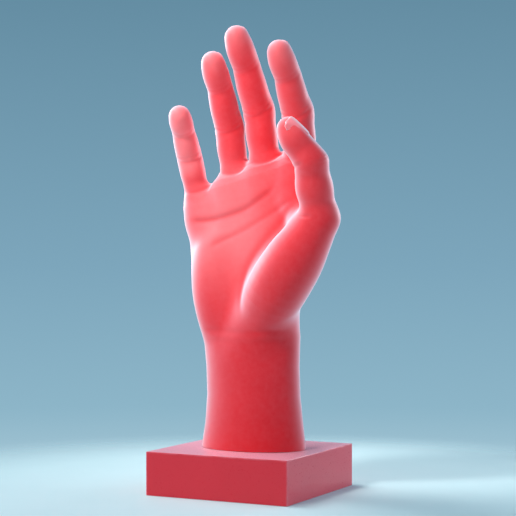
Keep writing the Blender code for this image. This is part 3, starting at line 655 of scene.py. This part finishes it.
def nearest_digit(p):
    """Index of the digit whose bones a point is closest to, and the bone."""
    best = np.full(len(p), 1e9)
    who = np.full(len(p), -1)
    bone = np.zeros(len(p), int)
    for i, name in enumerate(DIGITS):
        bones = BONES[name]
        low = -8.0 if name != "thumb" else -2.0
        for k, b in enumerate(bones):
            a = b.at(0, 0, low) if k == 0 else b.o
            e = b.at(0, 0, b.length)
            ba = e - a
            t = np.clip(((p - a) @ ba) / (ba @ ba), 0, 1)
            d = np.linalg.norm(p - a - t[:, None] * ba, axis=1)
            m = d < best - 1e-9
            best = np.where(m, d, best)
            who = np.where(m, i, who)
            bone = np.where(m, k, bone)
    return who, bone, best


DIGITS = ("index", "long", "ring", "little", "thumb")


def spread_labels(seed, allowed, edges):
    """Grow a set of vertices along edges inside the allowed ones."""
    grown = seed & allowed
    while True:
        reach = grown.copy()
        reach[edges[grown[edges[:, 0]], 1]] = True
        reach[edges[grown[edges[:, 1]], 0]] = True
        reach &= allowed
        if reach.sum() == grown.sum():
            return grown
        grown = reach


def piece_labels(verts, quads):
    """A piece name for every face of the glove."""
    edges = np.concatenate([quads[:, (0, 1)], quads[:, (1, 2)], quads[:, (2, 3)], quads[:, (3, 0)]])
    who, bone, dist = nearest_digit(verts)
    owner = np.full(len(verts), -1)
    for i, name in enumerate(DIGITS):
        b = BONES[name][0]
        along = thumb_reach(verts) - (THUMB_RUN[0] - 1.0) if name == "thumb" else b.local(verts)[:, 2] - (START - 1.0)
        # past the first bone the bend line no longer says anything
        inside = (who == i) & (dist < 19.0) & ((along > 0) | (bone > 0))
        if name == "thumb":
            inside = (who == i) & (dist < 20.0) & ((along > 0) | (bone > 0))
        last = BONES[name][-1]
        seed = inside & (bone == len(BONES[name]) - 1) & (last.local(verts)[:, 2] > last.length - 4.0)
        owner[spread_labels(seed, inside, edges)] = i
    # a face belongs to a digit only with all its corners
    fo = owner[quads]
    face_owner = np.where((fo == fo[:, :1]).all(1), fo[:, 0], -1)
    centre = verts[quads].mean(1)
    fw, fb, _ = nearest_digit(centre)
    out = np.full(len(quads), "palm", dtype=object)
    for i, name in enumerate(DIGITS):
        m = face_owner == i
        bones = BONES[name]
        c = centre[m]
        kb = fb[m]
        if name == "thumb":
            z0 = bones[0].local(c)[:, 2]
            s0 = bones[0].length - THUMB_HALF_BEND - 1.5
            part = np.where((kb == 0) & (z0 < s0), 0, 2)
        else:
            h1, h2 = HALF_BEND[name]
            L0, L1 = bones[0].length, bones[1].length
            z0, z1 = bones[0].local(c)[:, 2], bones[1].local(c)[:, 2]
            s0 = 0.5 * (STOP + L0 - h1)
            s1 = 0.5 * (h1 + L1 - h2)
            part = np.where((kb == 0) & (z0 < s0), 0, np.where((kb == 0) | ((kb == 1) & (z1 < s1)), 1, 2))
        labels = np.array([f"{name}_root", f"{name}_mid", f"{name}_tip"], dtype=object)[part]
        out[m] = labels
    return out


def trim_cuff(verts, quads, normals):
    """Cut the surface level at the cuff."""
    bm = bmesh.new()
    vs = [bm.verts.new(v) for v in verts]
    keep = np.nonzero(verts[quads][:, :, 2].max(1) > CUFF - 2.0)[0]
    for q in quads[keep]:
        bm.faces.new([vs[i] for i in q])
    loose = [v for v in bm.verts if not v.link_faces]
    bmesh.ops.delete(bm, geom=loose, context="VERTS")
    geom = bm.verts[:] + bm.edges[:] + bm.faces[:]
    cut = bmesh.ops.bisect_plane(bm, geom=geom, dist=1e-4, plane_co=(0, 0, CUFF), plane_no=(0, 0, -1), clear_outer=True)
    rim = [g for g in cut["geom_cut"] if isinstance(g, bmesh.types.BMEdge)]
    bm.normal_update()
    return bm, rim


def glove_mesh(name, verts, faces, normals, painted_light_maps):
    used = np.unique(np.concatenate([np.asarray(f) for f in faces]))
    remap = {int(o): i for i, o in enumerate(used)}
    mesh = bpy.data.meshes.new(name)
    mesh.from_pydata((verts[used] * MM).tolist(), [], [[remap[int(i)] for i in f] for f in faces])
    mesh.update()
    mesh.shade_smooth()
    loops = np.empty(len(mesh.loops), np.int64)
    mesh.loops.foreach_get("vertex_index", loops)
    mesh.normals_split_custom_set(normals[used][loops].tolist())
    for key, values in painted_light_maps.items():
        attribute = mesh.attributes.new(key, "FLOAT", "POINT")
        attribute.data.foreach_set("value", values[used].astype(np.float32))
    ob = bpy.data.objects.new(name, mesh)
    scene.collection.objects.link(ob)
    return ob


def painted_light_and_glow(p):
    """Painted light and glow: paler where the light falls on the palm and the little finger, and glowing at the thin
    digit ends.
    """
    x, y, z = p[:, 0], p[:, 1], p[:, 2]
    out = np.exp(-((x + 10.0) / 33.0) ** 2 - ((z - 166.0) / 34.0) ** 2) * step(8.0, -8.0, y)
    who, bone, dist = nearest_digit(p)
    for name, along, tip in (("little", 0.95, 1.0), ("ring", 0.12, 1.0), ("long", 0.08, 0.95), ("index", 0.18, 0.90), ("thumb", 0.08, 0.40)):
        last = BONES[name][-1]
        end = last.at(0, 0, last.length)
        near = np.exp(-(np.linalg.norm(p - end, axis=1) / 13.0) ** 2)
        on = step(-6.0, 14.0, BONES[name][0].local(p)[:, 2]) * step(19.0, 13.0, dist) * (who == DIGITS.index(name))
        out = np.maximum(out, on * (along + (tip - along) * near))
    return out


def build_glove():
    verts, quads, normals = build(GRID, 3)
    bm, rim = trim_cuff(verts, quads, normals)
    bm.verts.index_update()
    verts = np.array([v.co[:] for v in bm.verts])
    faces = [[v.index for v in f.verts] for f in bm.faces]
    bm.free()
    g = chunked(lambda q: gradient(q, field, 0.2), verts)
    normals = g / np.linalg.norm(g, axis=1)[:, None]
    # quads and the few triangles left by the cut, as rows of four
    rows = np.array([f if len(f) == 4 else (f + f[-1:])[:4] for f in faces])
    labels = piece_labels(verts, rows)
    # painted light and glow on the palm and digit ends, and painted shade in the creases
    painted_light_maps = {"pale": painted_light_and_glow(verts), "fold": np.clip(detail(verts), 0.0, 1.0)}
    pieces = {}
    for label in ["palm"] + [f"{d}_{s}" for d in DIGITS for s in ("root", "mid", "tip")]:
        mine = [faces[i] for i in np.nonzero(labels == label)[0]]
        if not mine:
            continue
        pieces[label] = glove_mesh("glove_" + label, verts, mine, normals, painted_light_maps)
    return pieces


def nail(name):
    """Moulded nail plate on the back of a digit's end."""
    b = BONES[name][-1]
    if name == "thumb":
        b = Bone(b.o, b.y * cos(NAIL_ROLL) - b.x * sin(NAIL_ROLL), b.z, b.length)
    r = FINGERS.get(name, THUMB)["r"]
    L = b.length
    half = r[-2] * (0.74 if name != "thumb" else 0.78)
    z0, z1 = (L * 0.45, L - 2.4) if name != "thumb" else (L * 0.44, L - 1.6)
    nu, nv = 21, 25
    u = np.linspace(-1, 1, nu)
    v = np.linspace(0, 1, nv)
    U, V = np.meshgrid(u, v, indexing="ij")
    width = half * (0.93 + 0.10 * V - 0.20 * np.maximum(V - 0.8, 0) * 5 * 0.35)
    # round the root and the free edge
    z = z0 + (z1 - z0) * V
    z = z + (1 - V) * 1.5 * U ** 2 * 0.9 - V * 2.3 * U ** 2
    x = width * U
    pts = b.o + x.reshape(-1, 1) * b.x + z.reshape(-1, 1) * b.z
    # march from the back onto the skin
    y = np.full(pts.shape[0], -13.0)
    for _ in range(28):
        p = pts + y[:, None] * b.y
        f = base_field(p)
        y = y + np.clip(f * 0.7, -1.5, 1.5)
        y = np.minimum(y, -1.0 if name != "thumb" else 3.0)
    y = y.reshape(nu, nv)
    # a plate doesn't follow the small dips of the skin
    for _ in range(6):
        y[1:-1, 1:-1] += 0.5 * (0.25 * (y[2:, 1:-1] + y[:-2, 1:-1] + y[1:-1, 2:] + y[1:-1, :-2]) - y[1:-1, 1:-1])
    # the plate is smoother than the skin and arched across
    arch = y.min(0)[None, :] * 0 + y
    edge = np.abs(U) ** 12
    root = np.clip(1 - V / 0.08, 0, 1) ** 2
    lift = 0.70 * (1 - edge) * (1 - root) - 0.5 * edge - 0.5 * root
    yy = arch - lift
    P = b.o + x[..., None] * b.x + z[..., None] * b.z + yy[..., None] * b.y
    Q = P + b.y * 0.9
    bm = bmesh.new()
    top = [[bm.verts.new(P[i, j] * MM) for j in range(nv)] for i in range(nu)]
    low = [[bm.verts.new(Q[i, j] * MM) for j in range(nv)] for i in range(nu)]
    for i in range(nu - 1):
        for j in range(nv - 1):
            bm.faces.new((top[i][j], top[i][j + 1], top[i + 1][j + 1], top[i + 1][j]))
            bm.faces.new((low[i][j], low[i + 1][j], low[i + 1][j + 1], low[i][j + 1]))
    for i in range(nu - 1):
        for j, flip in ((0, False), (nv - 1, True)):
            f = (top[i][j], top[i + 1][j], low[i + 1][j], low[i][j])
            bm.faces.new(f[::-1] if flip else f)
    for j in range(nv - 1):
        for i, flip in ((0, True), (nu - 1, False)):
            f = (top[i][j], top[i][j + 1], low[i][j + 1], low[i][j])
            bm.faces.new(f if flip else f[::-1])
    bmesh.ops.recalc_face_normals(bm, faces=bm.faces)
    mesh = bpy.data.meshes.new(name + "_nail")
    bm.to_mesh(mesh)
    bm.free()
    mesh.shade_smooth()
    ob = bpy.data.objects.new(name + "_nail", mesh)
    scene.collection.objects.link(ob)
    return ob


# ---------------------------------------------------------------------------
# materials


def new_material(name):
    mat = bpy.data.materials.new(name)
    mat.use_nodes = True
    nt = mat.node_tree
    return mat, nt, nt.nodes["Principled BSDF"]


def socket_mix(nt, factor, a, b, mode="MIX"):
    n = nt.nodes.new("ShaderNodeMix")
    n.data_type = "RGBA"
    n.blend_type = mode
    for s, v in ((n.inputs[0], factor), (n.inputs[6], a), (n.inputs[7], b)):
        if isinstance(v, bpy.types.NodeSocket):
            nt.links.new(v, s)
        elif isinstance(v, (int, float)):
            s.default_value = v
        else:
            s.default_value = (*v, 1.0)
    return n.outputs[2]


def maths(nt, op, a, b=0.0, clamp=False):
    n = nt.nodes.new("ShaderNodeMath")
    n.operation = op
    n.use_clamp = clamp
    for s, v in ((n.inputs[0], a), (n.inputs[1], b)):
        if isinstance(v, bpy.types.NodeSocket):
            nt.links.new(v, s)
        else:
            s.default_value = v
    return n.outputs[0]


def noise(nt, coord, scale, detail=3.0, rough=0.55):
    n = nt.nodes.new("ShaderNodeTexNoise")
    n.inputs["Scale"].default_value = scale
    n.inputs["Detail"].default_value = detail
    n.inputs["Roughness"].default_value = rough
    nt.links.new(coord, n.inputs["Vector"])
    return n.outputs["Fac"]


def ramp(nt, value, low, high, a=0.0, b=1.0):
    n = nt.nodes.new("ShaderNodeMapRange")
    n.inputs["From Min"].default_value = low
    n.inputs["From Max"].default_value = high
    n.inputs["To Min"].default_value = a
    n.inputs["To Max"].default_value = b
    nt.links.new(value, n.inputs["Value"])
    return n.outputs["Result"]


def object_coord(nt):
    return nt.nodes.new("ShaderNodeTexCoord").outputs["Object"]


def bump_from(nt, bsdf, height, strength, distance):
    n = nt.nodes.new("ShaderNodeBump")
    n.inputs["Strength"].default_value = strength
    n.inputs["Distance"].default_value = distance
    nt.links.new(height, n.inputs["Height"])
    nt.links.new(n.outputs["Normal"], bsdf.inputs["Normal"])
    return n


def attribute_value(nt, key):
    n = nt.nodes.new("ShaderNodeAttribute")
    n.attribute_type = "GEOMETRY"
    n.attribute_name = key
    return n.outputs["Fac"]


def silicone(name, core, deep, painted_light_colour, edge, rough, grain=1.0):
    """Tinted silicone: a red body of random tone, with painted light and glow
    where the palm is lit and the ends are thin, painted shade in its folds, and a painted pale rim highlight where the
    surface turns away."""
    mat, nt, bsdf = new_material(name)
    co = object_coord(nt)
    broad = ramp(nt, noise(nt, co, 24.0, 2.0), 0.35, 0.65)
    fine = ramp(nt, noise(nt, co, 240.0, 4.0, 0.6), 0.30, 0.70)
    body = socket_mix(nt, maths(nt, "MULTIPLY", broad, 0.28), core, deep)
    # painted light and glow: paler on the lit palm, the little finger and the digit ends
    body = socket_mix(nt, maths(nt, "MULTIPLY", attribute_value(nt, "pale"), 0.72, clamp=True), body, painted_light_colour)
    body = socket_mix(nt, maths(nt, "MULTIPLY", fine, 0.025), body, edge)
    # painted shade: darker deep red in the creases
    body = socket_mix(nt, maths(nt, "MULTIPLY", attribute_value(nt, "fold"), 0.55, clamp=True), body, deep)
    lw = nt.nodes.new("ShaderNodeLayerWeight")
    lw.inputs["Blend"].default_value = 0.50
    # painted rim highlight: paler pink where the surface turns away from view
    painted_rim_glow = maths(nt, "POWER", lw.outputs["Facing"], 2.0, clamp=True)
    colour = socket_mix(nt, maths(nt, "MULTIPLY", painted_rim_glow, 0.92, clamp=True), body, edge)
    # painted highlight: near-white rim at the silhouettes
    rim = maths(nt, "POWER", lw.outputs["Facing"], 5.0, clamp=True)
    colour = socket_mix(nt, maths(nt, "MULTIPLY", rim, 0.68, clamp=True), colour, (1.0, 0.90, 0.95))
    nt.links.new(colour, bsdf.inputs["Base Color"])
    nt.links.new(ramp(nt, noise(nt, co, 90.0, 3.0), 0.25, 0.75, rough - 0.05, rough + 0.07), bsdf.inputs["Roughness"])
    bsdf.inputs["Specular IOR Level"].default_value = 0.11
    bsdf.inputs["Sheen Weight"].default_value = 0.02
    bsdf.inputs["Sheen Roughness"].default_value = 0.35
    bsdf.inputs["Sheen Tint"].default_value = (1.0, 0.88, 0.92, 1.0)
    cells = nt.nodes.new("ShaderNodeTexVoronoi")
    cells.inputs["Scale"].default_value = 1300.0
    nt.links.new(co, cells.inputs["Vector"])
    height = maths(nt, "ADD", maths(nt, "MULTIPLY", cells.outputs["Distance"], 0.5), maths(nt, "MULTIPLY", noise(nt, co, 420.0, 3.0), 0.9))
    bump_from(nt, bsdf, height, 0.14 * grain, 0.00018)
    return mat


def plinth_paint():
    mat, nt, bsdf = new_material("plinth_satin_red")
    co = object_coord(nt)
    broad = ramp(nt, noise(nt, co, 14.0, 3.0), 0.35, 0.65)
    fine = noise(nt, co, 900.0, 3.0, 0.6)
    body = socket_mix(nt, maths(nt, "MULTIPLY", broad, 0.35), (0.86, 0.036, 0.054), (0.76, 0.026, 0.042))
    # paler in patches along the upright and upper edges
    sep = nt.nodes.new("ShaderNodeSeparateXYZ")
    nt.links.new(co, sep.inputs[0])
    sx, sy = (ramp(nt, maths(nt, "ABSOLUTE", sep.outputs[i]), 0.0468, 0.0476) for i in (0, 1))
    sz = ramp(nt, sep.outputs[2], 0.0256, 0.0264)
    edge = maths(nt, "MAXIMUM", maths(nt, "MULTIPLY", sx, sy), maths(nt, "MULTIPLY", maths(nt, "MAXIMUM", sx, sy), sz))
    pale_edge_patches = maths(nt, "MULTIPLY", edge, ramp(nt, noise(nt, co, 130.0, 4.0), 0.35, 0.60, 0.05, 0.30))
    body = socket_mix(nt, pale_edge_patches, body, (0.86, 0.30, 0.36))
    # painted reflection: pinkish-lilac where the surface turns away, for the bright surroundings mirrored at grazing
    # angles
    lw = nt.nodes.new("ShaderNodeLayerWeight")
    lw.inputs["Blend"].default_value = 0.50
    painted_grazing_reflection = maths(nt, "POWER", lw.outputs["Facing"], 4.0, clamp=True)
    body = socket_mix(nt, painted_grazing_reflection, body, (0.95, 0.60, 0.72))
    nt.links.new(body, bsdf.inputs["Base Color"])
    nt.links.new(ramp(nt, fine, 0.3, 0.7, 0.26, 0.36), bsdf.inputs["Roughness"])
    bsdf.inputs["Specular IOR Level"].default_value = 0.28
    bump_from(nt, bsdf, maths(nt, "ADD", fine, maths(nt, "MULTIPLY", noise(nt, co, 160.0, 2.0), 0.6)), 0.10, 0.0002)
    return mat


def metal(name, colour, rough, scale=(60.0, 900.0, 60.0)):
    mat, nt, bsdf = new_material(name)
    co = object_coord(nt)
    m = nt.nodes.new("ShaderNodeMapping")
    m.inputs["Scale"].default_value = scale
    nt.links.new(co, m.inputs["Vector"])
    lines = noise(nt, m.outputs["Vector"], 5.0, 4.0)
    cloud = noise(nt, co, 120.0, 3.0)
    body = socket_mix(nt, maths(nt, "MULTIPLY", cloud, 0.4), colour, tuple(c * 0.72 for c in colour))
    nt.links.new(body, bsdf.inputs["Base Color"])
    bsdf.inputs["Metallic"].default_value = 1.0
    nt.links.new(ramp(nt, lines, 0.3, 0.7, rough - 0.08, rough + 0.10), bsdf.inputs["Roughness"])
    bump_from(nt, bsdf, lines, 0.12, 0.0001)
    return mat


def moulded(name, colour, rough, cells=900.0, depth=0.00015):
    mat, nt, bsdf = new_material(name)
    co = object_coord(nt)
    cloud = noise(nt, co, 70.0, 3.0)
    body = socket_mix(nt, cloud, colour, tuple(c * 0.78 for c in colour))
    nt.links.new(body, bsdf.inputs["Base Color"])
    v = nt.nodes.new("ShaderNodeTexVoronoi")
    v.inputs["Scale"].default_value = cells
    nt.links.new(co, v.inputs["Vector"])
    nt.links.new(ramp(nt, v.outputs["Distance"], 0.0, 1.0, rough - 0.1, rough + 0.1), bsdf.inputs["Roughness"])
    bump_from(nt, bsdf, v.outputs["Distance"], 0.3, depth)
    return mat


# ---------------------------------------------------------------------------
GRID = 1.9 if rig.quick() else 1.15
scene = bpy.context.scene
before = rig.bounds()

# in both calls the third colour is the painted light and glow, and the fourth serves the fine speckle and the painted
# rim highlight
skin = silicone("glove_silicone", (0.84, 0.030, 0.040), (0.66, 0.012, 0.020), (0.98, 0.230, 0.240), (1.0, 0.66, 0.75), 0.46)
nail_mat = silicone("nail_silicone", (0.93, 0.20, 0.22), (0.88, 0.15, 0.17), (0.98, 0.42, 0.45), (1.0, 0.76, 0.82), 0.32, 0.3)
finishes = {
    "skin": skin,
    "plinth": plinth_paint(),
    "link_metal": metal("links_aluminium", (0.72, 0.73, 0.75), 0.36),
    "steel": metal("turned_steel", (0.56, 0.57, 0.59), 0.30, (900.0, 60.0, 60.0)),
    "brass": metal("turned_brass", (0.78, 0.57, 0.22), 0.32, (60.0, 60.0, 900.0)),
    "nylon": moulded("nylon", (0.85, 0.84, 0.80), 0.50),
    "core": moulded("moulded_core", (0.10, 0.10, 0.11), 0.58),
    "foam": moulded("soft_foam", (0.80, 0.66, 0.50), 0.88, 500.0, 0.0005),
}
slots = {s["node"]: s["material_slot"] for s in frame["record"]["subparts"]}
for node, ob in frame["nodes"].items():
    ob.data.materials.clear()
    ob.data.materials.append(finishes[slots[node]])

pieces = build_glove()
CAD_SKIN = {"root": "proximal", "mid": "middle", "tip": "distal"}
for label, ob in pieces.items():
    ob.data.materials.append(skin)
    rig.slot(ob, "skin")
    if label == "palm":
        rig.ride(ob, "hand")
        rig.replaces(ob, "palm_skin")
        continue
    digit, part = label.rsplit("_", 1)
    bones = BONES[digit]
    if digit == "thumb":
        b0, b1 = bones
        if part == "root":
            line = b0.z * cos(THUMB_TILT) - b0.y * sin(THUMB_TILT)
            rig.blend(ob, "hand", "thumb_proximal", tuple((b0.o + line * THUMB_RUN[0]) * MM), tuple((b0.o + line * THUMB_RUN[1]) * MM))
            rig.replaces(ob, "thumb_proximal_skin")
        else:
            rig.blend(ob, "thumb_proximal", "thumb_distal",
                     tuple(b0.at(0, 0, b0.length - THUMB_HALF_BEND) * MM), tuple(b1.at(0, 0, THUMB_HALF_BEND) * MM))
            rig.replaces(ob, "thumb_distal_skin")
        continue
    h1, h2 = HALF_BEND[digit]
    b0, b1, b2 = bones
    if part == "root":
        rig.blend(ob, "hand", f"{digit}_proximal", tuple(b0.at(0, 0, START) * MM), tuple(b0.at(0, 0, STOP) * MM))
    elif part == "mid":
        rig.blend(ob, f"{digit}_proximal", f"{digit}_middle", tuple(b0.at(0, 0, b0.length - h1) * MM), tuple(b1.at(0, 0, h1) * MM))
    else:
        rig.blend(ob, f"{digit}_middle", f"{digit}_distal", tuple(b1.at(0, 0, b1.length - h2) * MM), tuple(b2.at(0, 0, h2) * MM))
    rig.replaces(ob, f"{digit}_{CAD_SKIN[part]}_skin")

for digit in DIGITS:
    ob = nail(digit)
    ob.data.materials.append(nail_mat)
    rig.slot(ob, "skin")
    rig.ride(ob, f"{digit}_distal")

# ---------------------------------------------------------------------------
# floor, light and camera


def disc_floor():
    bm = bmesh.new()
    bmesh.ops.create_grid(bm, x_segments=2, y_segments=2, size=0.80)
    mesh = bpy.data.meshes.new("floor")
    bm.to_mesh(mesh)
    bm.free()
    ob = bpy.data.objects.new("floor", mesh)
    scene.collection.objects.link(ob)
    mat, nt, bsdf = new_material("floor_pale")
    co = object_coord(nt)
    length = nt.nodes.new("ShaderNodeVectorMath")
    length.operation = "LENGTH"
    nt.links.new(co, length.inputs[0])
    soft = nt.nodes.new("ShaderNodeMapRange")
    soft.interpolation_type = "SMOOTHSTEP"
    soft.inputs["From Min"].default_value = 0.17
    soft.inputs["From Max"].default_value = 0.33
    nt.links.new(length.outputs["Value"], soft.inputs["Value"])
    tone = socket_mix(nt, noise(nt, co, 30.0), (0.68, 0.87, 0.88), (0.71, 0.90, 0.91))
    nt.links.new(tone, bsdf.inputs["Base Color"])
    bsdf.inputs["Roughness"].default_value = 0.7
    clear = nt.nodes.new("ShaderNodeBsdfTransparent")
    mix = nt.nodes.new("ShaderNodeMixShader")
    nt.links.new(soft.outputs["Result"], mix.inputs[0])
    nt.links.new(bsdf.outputs[0], mix.inputs[1])
    nt.links.new(clear.outputs[0], mix.inputs[2])
    nt.links.new(mix.outputs[0], nt.nodes["Material Output"].inputs["Surface"])
    mesh.materials.append(mat)
    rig.stage(ob)
    return ob


disc_floor()

world = bpy.data.worlds.new("studio")
scene.world = world
world.use_nodes = True
wn = world.node_tree
bgn = wn.nodes["Background"]
wco = wn.nodes.new("ShaderNodeTexCoord")
sep = wn.nodes.new("ShaderNodeSeparateXYZ")
wn.links.new(wco.outputs["Generated"], sep.inputs[0])
tone = wn.nodes.new("ShaderNodeValToRGB")
el = tone.color_ramp.elements
el[0].position, el[0].color = 0.40, (0.55, 0.74, 0.82, 1)
el[1].position, el[1].color = 0.60, (0.118, 0.250, 0.345, 1)
for pos, col in ((0.452, (0.268, 0.465, 0.580, 1)), (0.50, (0.205, 0.380, 0.500, 1))):
    e = el.new(pos)
    e.color = col
half = wn.nodes.new("ShaderNodeMath")
half.operation = "MULTIPLY_ADD"
half.inputs[1].default_value = 0.5
half.inputs[2].default_value = 0.5
wn.links.new(sep.outputs["Z"], half.inputs[0])
wn.links.new(half.outputs[0], tone.inputs[0])
wn.links.new(tone.outputs[0], bgn.inputs["Color"])
bgn.inputs["Strength"].default_value = 1.0


def area(name, place, size, power, colour=(1, 1, 1), look=(0.0, 0.0, 0.16)):
    data = bpy.data.lights.new(name, "AREA")
    data.shape = "DISK"
    data.size = size
    data.energy = power
    data.color = colour
    ob = bpy.data.objects.new(name, data)
    scene.collection.objects.link(ob)
    ob.location = place
    ob.rotation_euler = (Vector(look) - Vector(place)).to_track_quat("-Z", "Y").to_euler()
    return ob


AZ, EL, DIST = radians(26.856), radians(-0.272), 0.93658
back = Vector((sin(AZ) * cos(EL), -cos(AZ) * cos(EL), sin(EL)))
right = Vector((cos(AZ), sin(AZ), 0.0))
depth = Vector((-sin(AZ), cos(AZ), 0.0))


def around(r, d, z):
    """A place given as right, away from the camera, and up."""
    return right * r + depth * d + Vector((0, 0, z))


def spot(name, place, look, angle, power, radius, colour=(1, 1, 1)):
    data = bpy.data.lights.new(name, "SPOT")
    data.energy = power
    data.spot_size = radians(angle)
    data.spot_blend = 1.0
    data.shadow_soft_size = radius
    data.color = colour
    ob = bpy.data.objects.new(name, data)
    scene.collection.objects.link(ob)
    ob.location = place
    ob.rotation_euler = (Vector(look) - Vector(place)).to_track_quat("-Z", "Y").to_euler()
    return ob


spot("key", around(-0.46, -0.46, 0.78), around(-0.040, 0.0, 0.222), 24.0, 30.0, 0.10)
spot("fingers", around(-0.42, -0.85, 0.14), around(-0.038, -0.02, 0.270), 15.0, 20.0, 0.12)
spot("rim_left", around(-0.60, 0.50, 0.36), around(0.0, 0.0, 0.235), 26.0, 28.0, 0.12, (0.97, 0.96, 1.0))
spot("rim_right", around(0.62, 0.50, 0.30), around(0.0, 0.0, 0.19), 30.0, 16.0, 0.12, (0.93, 0.92, 1.0))
area("side_right", around(0.95, 0.10, 0.35), 0.50, 2.2, (0.95, 0.94, 1.0))
area("top", around(-0.42, 0.18, 0.95), 0.50, 6.0)
area("front_left", around(-0.62, -0.62, 0.42), 0.60, 1.5)

camera = bpy.data.cameras.new("camera")
camera.lens = 104.16
camera.sensor_width = 36.0
cam = bpy.data.objects.new("camera", camera)
scene.collection.objects.link(cam)
target = Vector((0.00368, 0.00187, 0.14554))
cam.location = target + back * DIST
cam.rotation_mode = "QUATERNION"
cam.rotation_quaternion = (-back).to_track_quat("-Z", "Y")
scene.camera = cam
scene.view_settings.view_transform = "Standard"

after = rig.bounds()
sys.stdout.write("box before %s after %s\n" % ([tuple(round(c, 4) for c in v) for v in before], [tuple(round(c, 4) for c in v) for v in after]))
import json
with open("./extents.json", "w") as out:
    json.dump({"before": [list(v) for v in before], "after": [list(v) for v in after]}, out)
